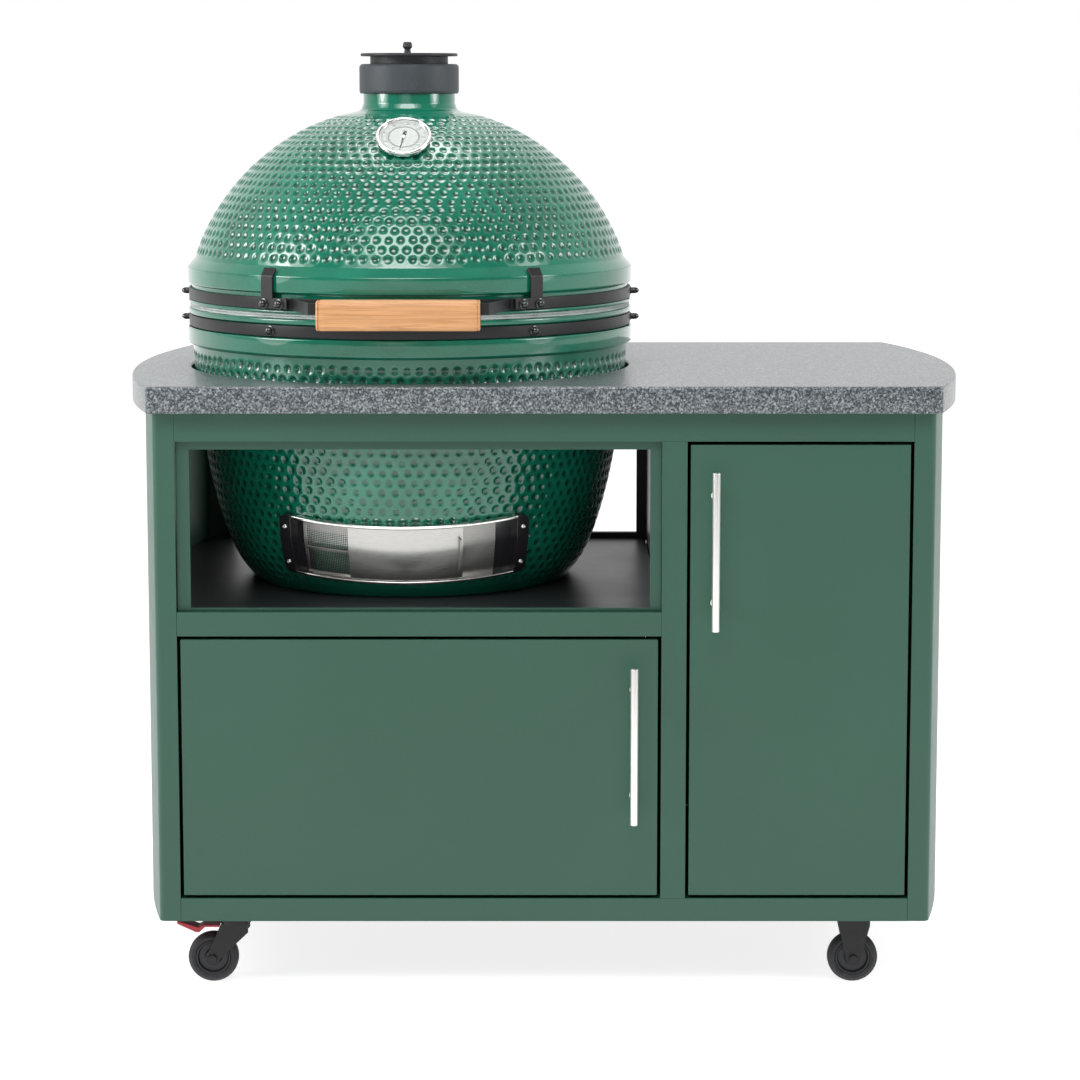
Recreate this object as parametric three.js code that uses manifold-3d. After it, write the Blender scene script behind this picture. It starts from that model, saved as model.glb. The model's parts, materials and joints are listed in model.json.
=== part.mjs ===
// Kamado charcoal grill built into a steel cabinet island on castors.
// Millimetres, +Z up, X to the right, Y towards the back. The origin is on the floor, under
// the middle of the whole island. Angles around the kamado start at the front and grow to the right.
import * as THREE from "three";
import { mergeVertices } from "three/addons/utils/BufferGeometryUtils.js";
import Module from "manifold-3d";

const wasm = await Module();
wasm.setup();

// ---------------------------------------------------------------- driving dimensions

// Fits and facets
const TOUCH_GAP = 0.3; // between pieces that rest on each other
const RUNNING_GAP = 0.5; // around a shaft that turns
const DOOR_GAP = 5; // around each door
const SHEET = 2; // steel sheet
const ROUND = 36; // facets on the large round pieces
const FINE_ROUND = 72; // facets on the curved slides
const SMALL_ROUND = 20; // facets on the small ones

// Kamado
const RIM_RADIUS = 350;
const BASE_FOOT_RADIUS = 250;
const BASE_BODY_HEIGHT = 371; // up to the underside of the rim
const BASE_WALL = 26;
const RIM_WALL = 37;
const RIM_FACE_HEIGHT = 27; // base rim
const DOME_FACE_HEIGHT = 25; // dome rim
const LIP_INSET = 1; // lip against the rim face
const SEAT_INSET = 6.5; // band seat against the rim face
const BAND_HEIGHT = 17.5;
const BAND_THICKNESS = 4;
const BASE_SEAT_CLEARANCE = 3; // base seat taller than its band
const DOME_SEAT_CLEARANCE = 7.5; // dome seat taller than its band
const BASE_LIP_HEIGHT = 8.2;
const DOME_LIP_HEIGHT = 5.2;
const GASKET_THICKNESS = 3.6;
const GASKET_INSET = 4;
const SHOULDER_INSET = 12;
const SHOULDER_HEIGHT = 14;
const DOME_HEIGHT = 227; // shoulder to the foot of the neck
const DOME_WALL = 25;
const NECK_RADIUS = 72;
const NECK_FILLET = 8;
const NECK_HEIGHT = 34;
const FLUE_RADIUS = 52;
const BASE_FOOT_FLARE = 74; // how far the curves pull outwards and upwards at their ends
const BASE_FOOT_LIFT = 0.19;
const BASE_SIDE_INSET = 8.6;
const BASE_SIDE_LIFT = 0.904;
const RIM_UNDERCUT = 7.5;
const DOME_SIDE_INSET = 34;
const DOME_SIDE_LIFT = 0.456;
const DOME_CROWN_REACH = 131;
const DOME_CROWN_DROP = 0.107;
const SHELL_GAP = 8; // between the base and the pieces inside it
const FIREBOX_TOP = 270;
const FIREBOX_WALL = 22;
const FIREBOX_FLOOR = 20;
const GRATE_HEIGHT = 110;
const GRATE_THICKNESS = 9;
const GRATE_LEDGE = 18;
const GRATE_SLOT_WIDTH = 12;
const GRATE_SLOT_PITCH = 32;
const GRID_ROD = 6;
const GRID_PITCH = 38;

// Draft door: it bends round a tilted axis that passes behind the kamado's own.
// Its heights are up the front of the base and its angles are about its own axis.
const DRAFT_TILT = 13;
const DRAFT_AXIS_ADVANCE = 9.2335; // the axis stands in front of the one that fits a plain cone
const DRAFT_LOW = 26;
const DRAFT_HIGH = 119.5;
const DRAFT_HALF_ANGLE = 35;
const DRAFT_POST_ANGLE = 3.5;
const DRAFT_RAIL = 5;
const DRAFT_SHEET = 2;
const DRAFT_WINDOW_LOW = 35;
const DRAFT_WINDOW_HIGH = 100;
const DRAFT_WINDOW_FROM = -27;
const DRAFT_WINDOW_TO = 2.5;
const DRAFT_PANEL_FROM = -14.8;
const DRAFT_PANEL_TO = 16.2;
const DRAFT_SCREEN_FROM = -28;
const DRAFT_SCREEN_TO = 2;
const PORT_LOW = 44; // the hole through the base and the firebox
const PORT_HIGH = 97;
const PORT_FROM = -28;
const PORT_TO = 2;
const DRAFT_TRACK_PITCH = 3.5;

// Dome fittings
const CLIP_ANGLE = 34.4;
const CLIP_WIDTH = 22;
const CLIP_FOOT_OUTWARD = 14; // from the middle of the tab
const CLIP_FOOT_INWARD = 38;
const CLIP_SHEET = 3;
const GRIP_LENGTH = 238;
const GRIP_HEIGHT = 44;
const GRIP_DEPTH = 42;
const GRIP_STANDOFF = 50; // rim face to the middle of the grip
const BRACKET_SHEET = 4;
const BRACKET_HEIGHT = BAND_HEIGHT - 0.5;
const BRACKET_BEND = 11; // grip end to the bend
const BRACKET_TENON = 24;
const THERMOMETER_LEAN = 7.807; // how many degrees steeper the face stands than the dome's skin
const THERMOMETER_RADIUS = 42;
const THERMOMETER_DROP = 45; // dome top to the stem
const THERMOMETER_STEM = 70;
const HINGE_KNUCKLE = 12;
const HINGE_PIN_RADIUS = 5;
const HINGE_ARM_SPREAD = 74;
const HINGE_ARM_WIDTH = 8;
const SPRING_COILS = 5;
const SPRING_PITCH = 8;

// Vent cap
const COLLAR_WALL = 6;
const COLLAR_RADIUS = NECK_RADIUS + COLLAR_WALL;
const COLLAR_HEIGHT = 46;
const COLLAR_OVERLAP = 7;
const SWING_RING_RADIUS = COLLAR_RADIUS - 17;
const SWING_RING_HEIGHT = 11.5;
const SWING_PLATE = 4;
const VENT_DISC_RADIUS = COLLAR_RADIUS - 2;
const VENT_DISC_THICKNESS = 4.5;
const VENT_HOLES = 5;
const VENT_HOLE_RADIUS = 11;
const VENT_HOLE_CIRCLE = 33;
const VENT_PIVOT_RADIUS = COLLAR_RADIUS - 11;
const VENT_KNOB_RADIUS = 7.5;
const VENT_KNOB_HEIGHT = 17;

// Cabinet
const KAMADO_LEFT_MARGIN = 14.4; // rim to the cabinet's front corner
const KAMADO_RIGHT_MARGIN = 35.6; // rim to the middle post
const KAMADO_DEPTH_MARGIN = 10; // rim to the front face
const RIM_ABOVE_WORKTOP = 37;
const CABINET_HALF_WIDTH = 576;
const CABINET_BULGE = 45;
const CABINET_CORNER = 8;
const SHELF_TOP = 580;
const SHELF_THICKNESS = 3.7;
const POST_WIDTH = 31;
const MIDDLE_POST_WIDTH = 37;
const TOP_RAIL_HEIGHT = 43;
const SILL_HEIGHT = 36;
const BOTTOM_RAIL_HEIGHT = 35;
const FLANGE_DEPTH = 25;
const TRIM_WIDTH = 17;
const TRIM_TOP_WIDTH = 13;
const TRIM_RECESS = 12;
const REAR_POST_DEPTH = 12;
const DOOR_THICKNESS = 20;
const WORKTOP_THICKNESS = 40;
const WORKTOP_OVERHANG = 22;
const WORKTOP_SIDE_OVERHANG = 6.4;
const WORKTOP_BULGE = 60;
const WORKTOP_CORNER = 6;
const WORKTOP_HOLE_GAP = 5;

// Door handles
const HANDLE_RADIUS = 6;
const HANDLE_LENGTH = 236;
const HANDLE_CENTRES = 160;
const HANDLE_STANDOFF = 35;
const HANDLE_FROM_EDGE = 36;
const HANDLE_FROM_TOP = 37;

// Castors
const WHEEL_RADIUS = 38;
const CASTOR_HEADROOM = 30; // wheel to the underside of the cabinet
const WHEEL_WIDTH = 25;
const AXLE_RADIUS = 4;
const CASTOR_TRAIL = 34;
const CASTOR_INSET = 108; // cabinet's front corner to the castor plate's middle
const CASTOR_DEPTH_INSET = 50;
const CASTOR_PLATE_LENGTH = 92;
const CASTOR_PLATE_WIDTH = 66;
const CASTOR_PLATE_THICKNESS = 3.5;
const RACE_RADIUS = 25;
const RACE_HEIGHT = 6;
const CROWN_THICKNESS = 4;
const FORK_SHEET = 3;
const FORK_CLEARANCE = 2;

// ---------------------------------------------------------------- derived sizes

const CASTOR_HEIGHT = 2 * WHEEL_RADIUS + CASTOR_HEADROOM;
const CABINET_HALF_DEPTH = RIM_RADIUS + KAMADO_DEPTH_MARGIN;
const KAMADO_X = KAMADO_LEFT_MARGIN + RIM_RADIUS - CABINET_HALF_WIDTH;
const KAMADO_Z = SHELF_TOP + TOUCH_GAP;
const WORKTOP_TOP = KAMADO_Z + BASE_BODY_HEIGHT - RIM_ABOVE_WORKTOP;
const PANEL_TOP = WORKTOP_TOP - WORKTOP_THICKNESS - TOUCH_GAP;
const FRONT = -CABINET_HALF_DEPTH;
const BAY_LEFT = POST_WIDTH - CABINET_HALF_WIDTH;
const BAY_RIGHT = KAMADO_X + RIM_RADIUS + KAMADO_RIGHT_MARGIN;
const CUPBOARD_LEFT = BAY_RIGHT + MIDDLE_POST_WIDTH;
const CUPBOARD_RIGHT = CABINET_HALF_WIDTH - POST_WIDTH;
const TOP_RAIL_BOTTOM = PANEL_TOP - TOP_RAIL_HEIGHT;
const SILL_TOP = SHELF_TOP - SHELF_THICKNESS - TOUCH_GAP;
const SILL_BOTTOM = SILL_TOP - SILL_HEIGHT;
const BOTTOM_RAIL_TOP = CASTOR_HEIGHT + BOTTOM_RAIL_HEIGHT;
const FLOOR_TOP = CASTOR_HEIGHT + SHEET;
const REAR_INSIDE = CABINET_HALF_DEPTH - SHEET - TOUCH_GAP;

// Heights above the kamado's foot
const BASE_RIM_TOP = BASE_BODY_HEIGHT + RIM_FACE_HEIGHT;
const BASE_SEAT_TOP = BASE_RIM_TOP + BAND_HEIGHT + BASE_SEAT_CLEARANCE;
const BASE_TOP = BASE_SEAT_TOP + BASE_LIP_HEIGHT;
const LOWER_GASKET_BOTTOM = BASE_TOP + TOUCH_GAP;
const UPPER_GASKET_BOTTOM = LOWER_GASKET_BOTTOM + GASKET_THICKNESS + TOUCH_GAP;
const PARTING_HEIGHT = UPPER_GASKET_BOTTOM - TOUCH_GAP / 2;
const DOME_BOTTOM = UPPER_GASKET_BOTTOM + GASKET_THICKNESS + TOUCH_GAP;
const DOME_SEAT_BOTTOM = DOME_BOTTOM + DOME_LIP_HEIGHT;
const DOME_FACE_BOTTOM = DOME_SEAT_BOTTOM + BAND_HEIGHT + DOME_SEAT_CLEARANCE;
const DOME_FACE_TOP = DOME_FACE_BOTTOM + DOME_FACE_HEIGHT;
const SHOULDER_TOP = DOME_FACE_TOP + SHOULDER_HEIGHT;
const NECK_BOTTOM = SHOULDER_TOP + DOME_HEIGHT;
const NECK_TOP = NECK_BOTTOM + NECK_HEIGHT;
const SEAT_RADIUS = RIM_RADIUS - SEAT_INSET;
const BAND_INNER = SEAT_RADIUS + TOUCH_GAP;
const BAND_OUTER = BAND_INNER + BAND_THICKNESS;
const LOWER_BAND_BOTTOM = BASE_RIM_TOP + BASE_SEAT_CLEARANCE / 2;
const UPPER_BAND_BOTTOM = DOME_SEAT_BOTTOM + TOUCH_GAP;
const GRIP_Y = -RIM_RADIUS - GRIP_STANDOFF;
const GRIP_Z = (UPPER_BAND_BOTTOM + PARTING_HEIGHT) / 2 + BRACKET_HEIGHT / 4;
// The hinge reaches as far behind the island as the grip reaches in front of it.
const HINGE_Y = GRIP_DEPTH / 2 - GRIP_Y - HINGE_KNUCKLE;

// ---------------------------------------------------------------- finishes

function finish(color, roughness, metalness) {
  return new THREE.MeshStandardMaterial({ color, roughness, metalness });
}

const GLAZE = finish(0x0b5a42, 0.15, 0);
const POWDER_COAT = finish(0x3c6150, 0.45, 0.1);
const BLACK_STEEL = finish(0x1b1d20, 0.45, 0.6);
const STAINLESS = finish(0xc9c5bd, 0.3, 1);
const CAST_IRON = finish(0x464e58, 0.6, 0.5);
const FIRECLAY = finish(0xb9a68d, 0.9, 0);
const FELT = finish(0xa0b0a8, 0.95, 0);
const WOOD = finish(0xd9a878, 0.6, 0);
const SPECKLED_TOP = finish(0x50545a, 0.35, 0.1);
const WHITE_DIAL = finish(0xf0f0ea, 0.4, 0);
const RUBBER = finish(0x2a2c30, 0.7, 0);
const RED_PEDAL = finish(0xb02338, 0.4, 0);
const LENS = finish(0xdfe8e8, 0.05, 0);

// ---------------------------------------------------------------- solids

function solid(geometry) {
  const bare = new THREE.BufferGeometry();
  const source = geometry.index ? geometry.toNonIndexed() : geometry;
  bare.setAttribute("position", source.getAttribute("position"));
  const merged = mergeVertices(bare, 1e-4);
  return new wasm.Manifold(
    new wasm.Mesh({
      numProp: 3,
      vertProperties: merged.attributes.position.array,
      triVerts: new Uint32Array(merged.index.array),
    }),
  );
}

function geometryOf(made) {
  const mesh = made.getMesh();
  const geometry = new THREE.BufferGeometry();
  geometry.setAttribute("position", new THREE.BufferAttribute(mesh.vertProperties, mesh.numProp));
  geometry.setIndex(new THREE.BufferAttribute(mesh.triVerts, 1));
  return geometry;
}

function join(pieces) {
  return pieces.reduce((sum, piece) => sum.add(piece));
}

function turned(piece, degreesAboutZ) {
  return piece.rotate([0, 0, degreesAboutZ]);
}

function box([x0, x1], [y0, y1], [z0, z1]) {
  const geometry = new THREE.BoxGeometry(x1 - x0, y1 - y0, z1 - z0);
  geometry.translate((x0 + x1) / 2, (y0 + y1) / 2, (z0 + z1) / 2);
  return solid(geometry);
}

// A closed outline of [radius, height] points turned about the Z axis.
function revolve(points, sides = ROUND) {
  const outline = points.map(([r, z]) => new THREE.Vector2(r, z));
  if (THREE.ShapeUtils.area(outline) < 0) outline.reverse();
  if (outline[0].x > 0 || outline.at(-1).x > 0) outline.push(outline[0].clone());
  const geometry = new THREE.LatheGeometry(outline, sides);
  geometry.rotateX(Math.PI / 2);
  return solid(geometry);
}

function ring(inner, outer, z0, z1, sides = ROUND) {
  return revolve([[inner, z0], [outer, z0], [outer, z1], [inner, z1]], sides);
}

function disc(radius, z0, z1, sides = SMALL_ROUND) {
  return revolve([[0, z0], [radius, z0], [radius, z1], [0, z1]], sides);
}

function extrudeZ(shape, z0, z1, curveSegments = 9) {
  const geometry = new THREE.ExtrudeGeometry(shape, {
    depth: z1 - z0,
    bevelEnabled: false,
    curveSegments,
  });
  geometry.translate(0, 0, z0);
  return solid(geometry);
}

// The shape's x runs along Y and its y along Z.
function extrudeX(shape, x0, x1, curveSegments = 8) {
  const made = extrudeZ(shape, x0, x1, curveSegments);
  return made.transform([0, 1, 0, 0, 0, 0, 1, 0, 1, 0, 0, 0, 0, 0, 0, 1]);
}

// The shape's x runs along X and its y along Z.
function extrudeY(shape, y0, y1, curveSegments = 8) {
  const made = extrudeZ(shape, -y1, -y0, curveSegments);
  return made.transform([1, 0, 0, 0, 0, 0, 1, 0, 0, -1, 0, 0, 0, 0, 0, 1]);
}

function polygon(points) {
  return new THREE.Shape(points.map(([x, y]) => new THREE.Vector2(x, y)));
}

function roundedRectangle(width, height, radius) {
  const x = width / 2;
  const y = height / 2;
  const shape = new THREE.Shape();
  shape.moveTo(-x + radius, -y);
  shape.absarc(x - radius, -y + radius, radius, -Math.PI / 2, 0);
  shape.absarc(x - radius, y - radius, radius, 0, Math.PI / 2);
  shape.absarc(-x + radius, y - radius, radius, Math.PI / 2, Math.PI);
  shape.absarc(-x + radius, -y + radius, radius, Math.PI, 1.5 * Math.PI);
  return shape;
}

// A bent strip of sheet: its middle line, and its thickness.
function strip(line, thickness) {
  const points = line.map(([x, y]) => new THREE.Vector2(x, y));
  const left = [];
  const right = [];
  points.forEach((point, i) => {
    const before = points[Math.max(i - 1, 0)];
    const after = points[Math.min(i + 1, points.length - 1)];
    const arriving = point.clone().sub(before).normalize();
    const leaving = after.clone().sub(point).normalize();
    const along = arriving.clone().add(leaving).normalize();
    const stretch = 1 / Math.max(along.dot(arriving), along.dot(leaving));
    const side = new THREE.Vector2(-along.y, along.x).multiplyScalar((thickness / 2) * stretch);
    left.push(point.clone().add(side));
    right.unshift(point.clone().sub(side));
  });
  return new THREE.Shape([...left, ...right]);
}

// Flat outline with straight front and back and bulged ends, drawn through softened corners.
function islandOutline(halfWidth, halfDepth, bulge, corner) {
  const radius = (halfDepth ** 2 + bulge ** 2) / (2 * bulge);
  const centre = halfWidth + bulge - radius;
  const reach = Math.asin(halfDepth / radius) - corner / radius;
  const endX = centre + radius * Math.cos(reach);
  const endY = radius * Math.sin(reach);
  const shape = new THREE.Shape();
  shape.moveTo(-halfWidth + corner, -halfDepth);
  shape.lineTo(halfWidth - corner, -halfDepth);
  shape.quadraticCurveTo(halfWidth, -halfDepth, endX, -endY);
  shape.absarc(centre, 0, radius, -reach, reach);
  shape.quadraticCurveTo(halfWidth, halfDepth, halfWidth - corner, halfDepth);
  shape.lineTo(-halfWidth + corner, halfDepth);
  shape.quadraticCurveTo(-halfWidth, halfDepth, -endX, endY);
  shape.absarc(-centre, 0, radius, Math.PI - reach, Math.PI + reach);
  shape.quadraticCurveTo(-halfWidth, -halfDepth, -halfWidth + corner, -halfDepth);
  return shape;
}

// The part of a ring between two angles from the front.
function sector(piece, from, to, radius, z0, z1) {
  const steps = 6;
  const points = [[0, 0]];
  for (let i = 0; i <= steps; i += 1) {
    const angle = THREE.MathUtils.degToRad(from + ((to - from) * i) / steps);
    points.push([Math.sin(angle) * radius, -Math.cos(angle) * radius]);
  }
  return piece.intersect(extrudeZ(polygon(points), z0, z1));
}

function place(parent, name, made, material) {
  const mesh = new THREE.Mesh(geometryOf(made), material);
  mesh.name = name;
  parent.add(mesh);
  return mesh;
}

function groupAt(parent, x, y, z) {
  const group = new THREE.Group();
  group.position.set(x, y, z);
  parent.add(group);
  return group;
}

// ---------------------------------------------------------------- kamado outlines

const baseCurve = new THREE.CubicBezierCurve(
  new THREE.Vector2(BASE_FOOT_RADIUS, 0),
  new THREE.Vector2(BASE_FOOT_RADIUS + BASE_FOOT_FLARE, BASE_FOOT_LIFT * BASE_BODY_HEIGHT),
  new THREE.Vector2(RIM_RADIUS - BASE_SIDE_INSET, BASE_SIDE_LIFT * BASE_BODY_HEIGHT),
  new THREE.Vector2(RIM_RADIUS - RIM_UNDERCUT, BASE_BODY_HEIGHT),
);

const SHOULDER_RADIUS = RIM_RADIUS - SHOULDER_INSET;
const NECK_FOOT_RADIUS = NECK_RADIUS + NECK_FILLET;

const domeCurve = new THREE.CubicBezierCurve(
  new THREE.Vector2(SHOULDER_RADIUS, SHOULDER_TOP),
  new THREE.Vector2(SHOULDER_RADIUS - DOME_SIDE_INSET, SHOULDER_TOP + DOME_SIDE_LIFT * DOME_HEIGHT),
  new THREE.Vector2(NECK_FOOT_RADIUS + DOME_CROWN_REACH, NECK_BOTTOM - DOME_CROWN_DROP * DOME_HEIGHT),
  new THREE.Vector2(NECK_FOOT_RADIUS, NECK_BOTTOM),
);

function radiusAt(curve, height) {
  let low = 0;
  let high = 1;
  for (let i = 0; i < 40; i += 1) {
    const middle = (low + high) / 2;
    if (curve.getPoint(middle).y < height) low = middle;
    else high = middle;
  }
  return curve.getPoint(low).x;
}

function baseRadius(height) {
  return radiusAt(baseCurve, height);
}

function curvePoints(curve, divisions) {
  return curve.getPoints(divisions).map((point) => [point.x, point.y]);
}

function draftPort() {
  const tunnel = ring(BASE_FOOT_RADIUS / 2, 1.5 * RIM_RADIUS, PORT_LOW, PORT_HIGH);
  return sector(tunnel, PORT_FROM, PORT_TO, 1.6 * RIM_RADIUS, PORT_LOW, PORT_HIGH);
}

// ---------------------------------------------------------------- kamado base

function ceramicBase() {
  const outside = curvePoints(baseCurve, 8);
  const inside = outside
    .map(([r, z]) => [r - BASE_WALL, z])
    .filter(([, z]) => z > BASE_WALL + 5)
    .reverse();
  const innerRim = RIM_RADIUS - RIM_WALL;
  const shell = revolve([
    [0, 0],
    ...outside,
    [RIM_RADIUS, BASE_BODY_HEIGHT + 2],
    [RIM_RADIUS, BASE_RIM_TOP - 2],
    [RIM_RADIUS - 2, BASE_RIM_TOP],
    [SEAT_RADIUS, BASE_RIM_TOP],
    [SEAT_RADIUS, BASE_SEAT_TOP],
    [RIM_RADIUS - LIP_INSET, BASE_SEAT_TOP],
    [RIM_RADIUS - LIP_INSET, BASE_TOP],
    [innerRim, BASE_TOP],
    ...inside,
    [inside.at(-1)[0] - 16, BASE_WALL],
    [0, BASE_WALL],
  ]);
  return shell.subtract(draftPort());
}

function insideRadius(height) {
  return baseRadius(height) - BASE_WALL - SHELL_GAP;
}

function firebox() {
  const bottom = BASE_WALL + TOUCH_GAP;
  const levels = [bottom + 30, GRATE_HEIGHT, (GRATE_HEIGHT + FIREBOX_TOP) / 2, FIREBOX_TOP];
  const outside = levels.map((z) => [insideRadius(z), z]);
  const inside = levels.slice(1).map((z) => [insideRadius(z) - FIREBOX_WALL, z]).reverse();
  const ledge = inside.at(-1)[0] - GRATE_LEDGE;
  const pot = revolve([
    [0, bottom],
    [insideRadius(bottom) - 20, bottom],
    ...outside,
    ...inside,
    [ledge, GRATE_HEIGHT],
    [ledge - 14, bottom + FIREBOX_FLOOR],
    [0, bottom + FIREBOX_FLOOR],
  ]);
  return pot.subtract(draftPort());
}

function fireGrate() {
  const radius = insideRadius(GRATE_HEIGHT) - FIREBOX_WALL - RUNNING_GAP - 1;
  const bottom = GRATE_HEIGHT + TOUCH_GAP;
  const plate = disc(radius, bottom, bottom + GRATE_THICKNESS, ROUND);
  const rows = Math.floor((radius - GRATE_LEDGE - 16) / GRATE_SLOT_PITCH);
  const slots = [];
  for (let row = -rows; row <= rows; row += 1) {
    const x = row * GRATE_SLOT_PITCH;
    const half = Math.sqrt((radius - GRATE_LEDGE - 6) ** 2 - x ** 2) - 4;
    const span = [x - GRATE_SLOT_WIDTH / 2, x + GRATE_SLOT_WIDTH / 2];
    const heights = [GRATE_HEIGHT - 5, GRATE_HEIGHT + 2 * GRATE_THICKNESS];
    slots.push(box(span, [8, half], heights), box(span, [-half, -8], heights));
  }
  return plate.subtract(join(slots));
}

function fireRingRadius() {
  return insideRadius(FIREBOX_TOP);
}

function fireRing() {
  const radius = fireRingRadius();
  return ring(radius - FIREBOX_WALL, radius, FIREBOX_TOP + TOUCH_GAP, BASE_BODY_HEIGHT);
}

function cookingGrid() {
  const bottom = BASE_BODY_HEIGHT + TOUCH_GAP;
  const radius = fireRingRadius() - 3;
  const pieces = [ring(radius - GRID_ROD, radius, bottom, bottom + GRID_ROD)];
  const bars = Math.floor((radius - GRID_ROD) / GRID_PITCH);
  for (let bar = -bars; bar <= bars; bar += 1) {
    const x = bar * GRID_PITCH;
    const half = Math.sqrt((radius - 1) ** 2 - x ** 2) - GRID_ROD / 2;
    pieces.push(box([x - 2, x + 2], [-half, half], [bottom + 1, bottom + GRID_ROD - 1]));
  }
  pieces.push(box([-radius + 3, radius - 3], [-2, 2], [bottom + 0.4, bottom + 3]));
  return join(pieces);
}

function band(bottom) {
  return ring(BAND_INNER, BAND_OUTER, bottom, bottom + BAND_HEIGHT);
}

function gasket(bottom) {
  const inner = RIM_RADIUS - RIM_WALL + GASKET_INSET;
  return ring(inner, RIM_RADIUS - GASKET_INSET, bottom, bottom + GASKET_THICKNESS);
}

// ---------------------------------------------------------------- draft door

const draftTilt = THREE.MathUtils.degToRad(DRAFT_TILT);
const draftMiddle = (DRAFT_LOW + DRAFT_HIGH) / 2;
const wallSlope = baseRadius(draftMiddle + 0.5) - baseRadius(draftMiddle - 0.5);
const wallLean = wallSlope + Math.tan(draftTilt);
// Behind the kamado's middle, at the height of its foot.
const draftSetback =
  Math.tan(draftTilt) * (draftMiddle + baseRadius(draftMiddle) * wallLean) - DRAFT_AXIS_ADVANCE;

// A height up the front of the base, as [radius, height] about the door's own axis.
function draftPoint(height) {
  const reach = baseRadius(height) + draftSetback;
  return [
    reach * Math.cos(draftTilt) - height * Math.sin(draftTilt),
    reach * Math.sin(draftTilt) + height * Math.cos(draftTilt),
  ];
}

// A thin shell that follows the outside of the base between two angles.
function skin(offset, thickness, z0, z1, from, to) {
  const steps = 3;
  const points = Array.from({ length: steps + 1 }, (_, i) => draftPoint(z0 + ((z1 - z0) * i) / steps));
  const inside = points.map(([r, z]) => [r + offset, z]);
  const outside = points.map(([r, z]) => [r + offset + thickness, z]).reverse();
  const shell = revolve([...inside, ...outside], FINE_ROUND);
  return sector(shell, from, to, 2 * RIM_RADIUS, 0, 2 * RIM_RADIUS);
}

// What a hole through the door takes away between two heights and two angles.
function draftCut(z0, z1, from, to) {
  const low = draftPoint(z0)[1];
  const high = draftPoint(z1)[1];
  const hoop = ring(BASE_FOOT_RADIUS / 2, 1.5 * RIM_RADIUS, low, high);
  return sector(hoop, from, to, 2 * RIM_RADIUS, low, high);
}

const TRACK_SCREEN = 1 + DRAFT_SHEET + 1;
const TRACK_PANEL = TRACK_SCREEN + DRAFT_TRACK_PITCH;
const TRACK_DEPTH = TRACK_PANEL + DRAFT_TRACK_PITCH;

function draftFrame() {
  const plate = skin(1, DRAFT_SHEET, DRAFT_LOW, DRAFT_HIGH, -DRAFT_HALF_ANGLE, DRAFT_HALF_ANGLE);
  const window = draftCut(DRAFT_WINDOW_LOW, DRAFT_WINDOW_HIGH, DRAFT_WINDOW_FROM, DRAFT_WINDOW_TO);
  const rails = [
    skin(1, TRACK_DEPTH, DRAFT_LOW, DRAFT_LOW + DRAFT_RAIL, -DRAFT_HALF_ANGLE, DRAFT_HALF_ANGLE),
    skin(1, TRACK_DEPTH, DRAFT_HIGH - DRAFT_RAIL, DRAFT_HIGH, -DRAFT_HALF_ANGLE, DRAFT_HALF_ANGLE),
  ];
  const posts = [-1, 1].map((side) => {
    const inner = DRAFT_HALF_ANGLE - DRAFT_POST_ANGLE;
    const edges = [side * DRAFT_HALF_ANGLE, side * inner].sort((a, b) => a - b);
    return skin(1, TRACK_DEPTH, DRAFT_LOW, DRAFT_HIGH, ...edges);
  });
  return join([plate.subtract(window), ...rails, ...posts]);
}

const SLIDE_LOW = DRAFT_LOW + DRAFT_RAIL + RUNNING_GAP;
const SLIDE_HIGH = DRAFT_HIGH - DRAFT_RAIL - RUNNING_GAP;

function draftScreen() {
  const plate = skin(TRACK_SCREEN, 1.5, SLIDE_LOW, SLIDE_HIGH, DRAFT_SCREEN_FROM, DRAFT_SCREEN_TO);
  const middle = (SLIDE_LOW + SLIDE_HIGH) / 2;
  const rim = 5;
  const bays = [[SLIDE_LOW + rim, middle - 1.5], [middle + 1.5, SLIDE_HIGH - rim]];
  const meshBars = 4;
  const width = (DRAFT_SCREEN_TO - DRAFT_SCREEN_FROM - 2) / meshBars;
  const holes = [];
  bays.forEach(([z0, z1]) => {
    for (let i = 0; i < meshBars; i += 1) {
      const from = DRAFT_SCREEN_FROM + 1 + i * width + 0.25;
      holes.push(draftCut(z0, z1, from, from + width - 0.5));
    }
  });
  return plate.subtract(join(holes));
}

function draftPanel() {
  const plate = skin(TRACK_PANEL, 1.5, SLIDE_LOW, SLIDE_HIGH, DRAFT_PANEL_FROM, DRAFT_PANEL_TO);
  const tabAngle = DRAFT_PANEL_TO - 1.2;
  const tab = skin(TRACK_PANEL, 10, PORT_LOW + 8, PORT_HIGH - 8, tabAngle, tabAngle + 0.5);
  return plate.add(tab);
}

// ---------------------------------------------------------------- dome hinge

const HINGE_Z = PARTING_HEIGHT;
const INNER_ARM = HINGE_ARM_SPREAD - HINGE_ARM_WIDTH - 3;

// An arm starts just behind the band's outside, at the arm's own distance from the middle.
function armStart(middle) {
  return Math.sqrt(BAND_OUTER ** 2 - (middle - HINGE_ARM_WIDTH / 2) ** 2) + 1;
}

function hingeSaddle(bottom, halfAngle) {
  const inner = BAND_OUTER + TOUCH_GAP;
  const saddle = ring(inner, inner + 5, bottom + 1, bottom + BAND_HEIGHT - 1);
  return sector(saddle, 180 - halfAngle, 180 + halfAngle, 2 * RIM_RADIUS, bottom, bottom + BAND_HEIGHT);
}

function pinHole() {
  const hole = disc(HINGE_PIN_RADIUS + RUNNING_GAP, -2 * HINGE_ARM_SPREAD, 2 * HINGE_ARM_SPREAD);
  return hole.rotate([0, 90, 0]).translate([0, HINGE_Y, HINGE_Z]);
}

function hingeArms(shape, middle) {
  const half = HINGE_ARM_WIDTH / 2;
  const arms = [-1, 1].map((side) => extrudeX(shape, side * middle - half, side * middle + half));
  return join(arms);
}

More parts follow.
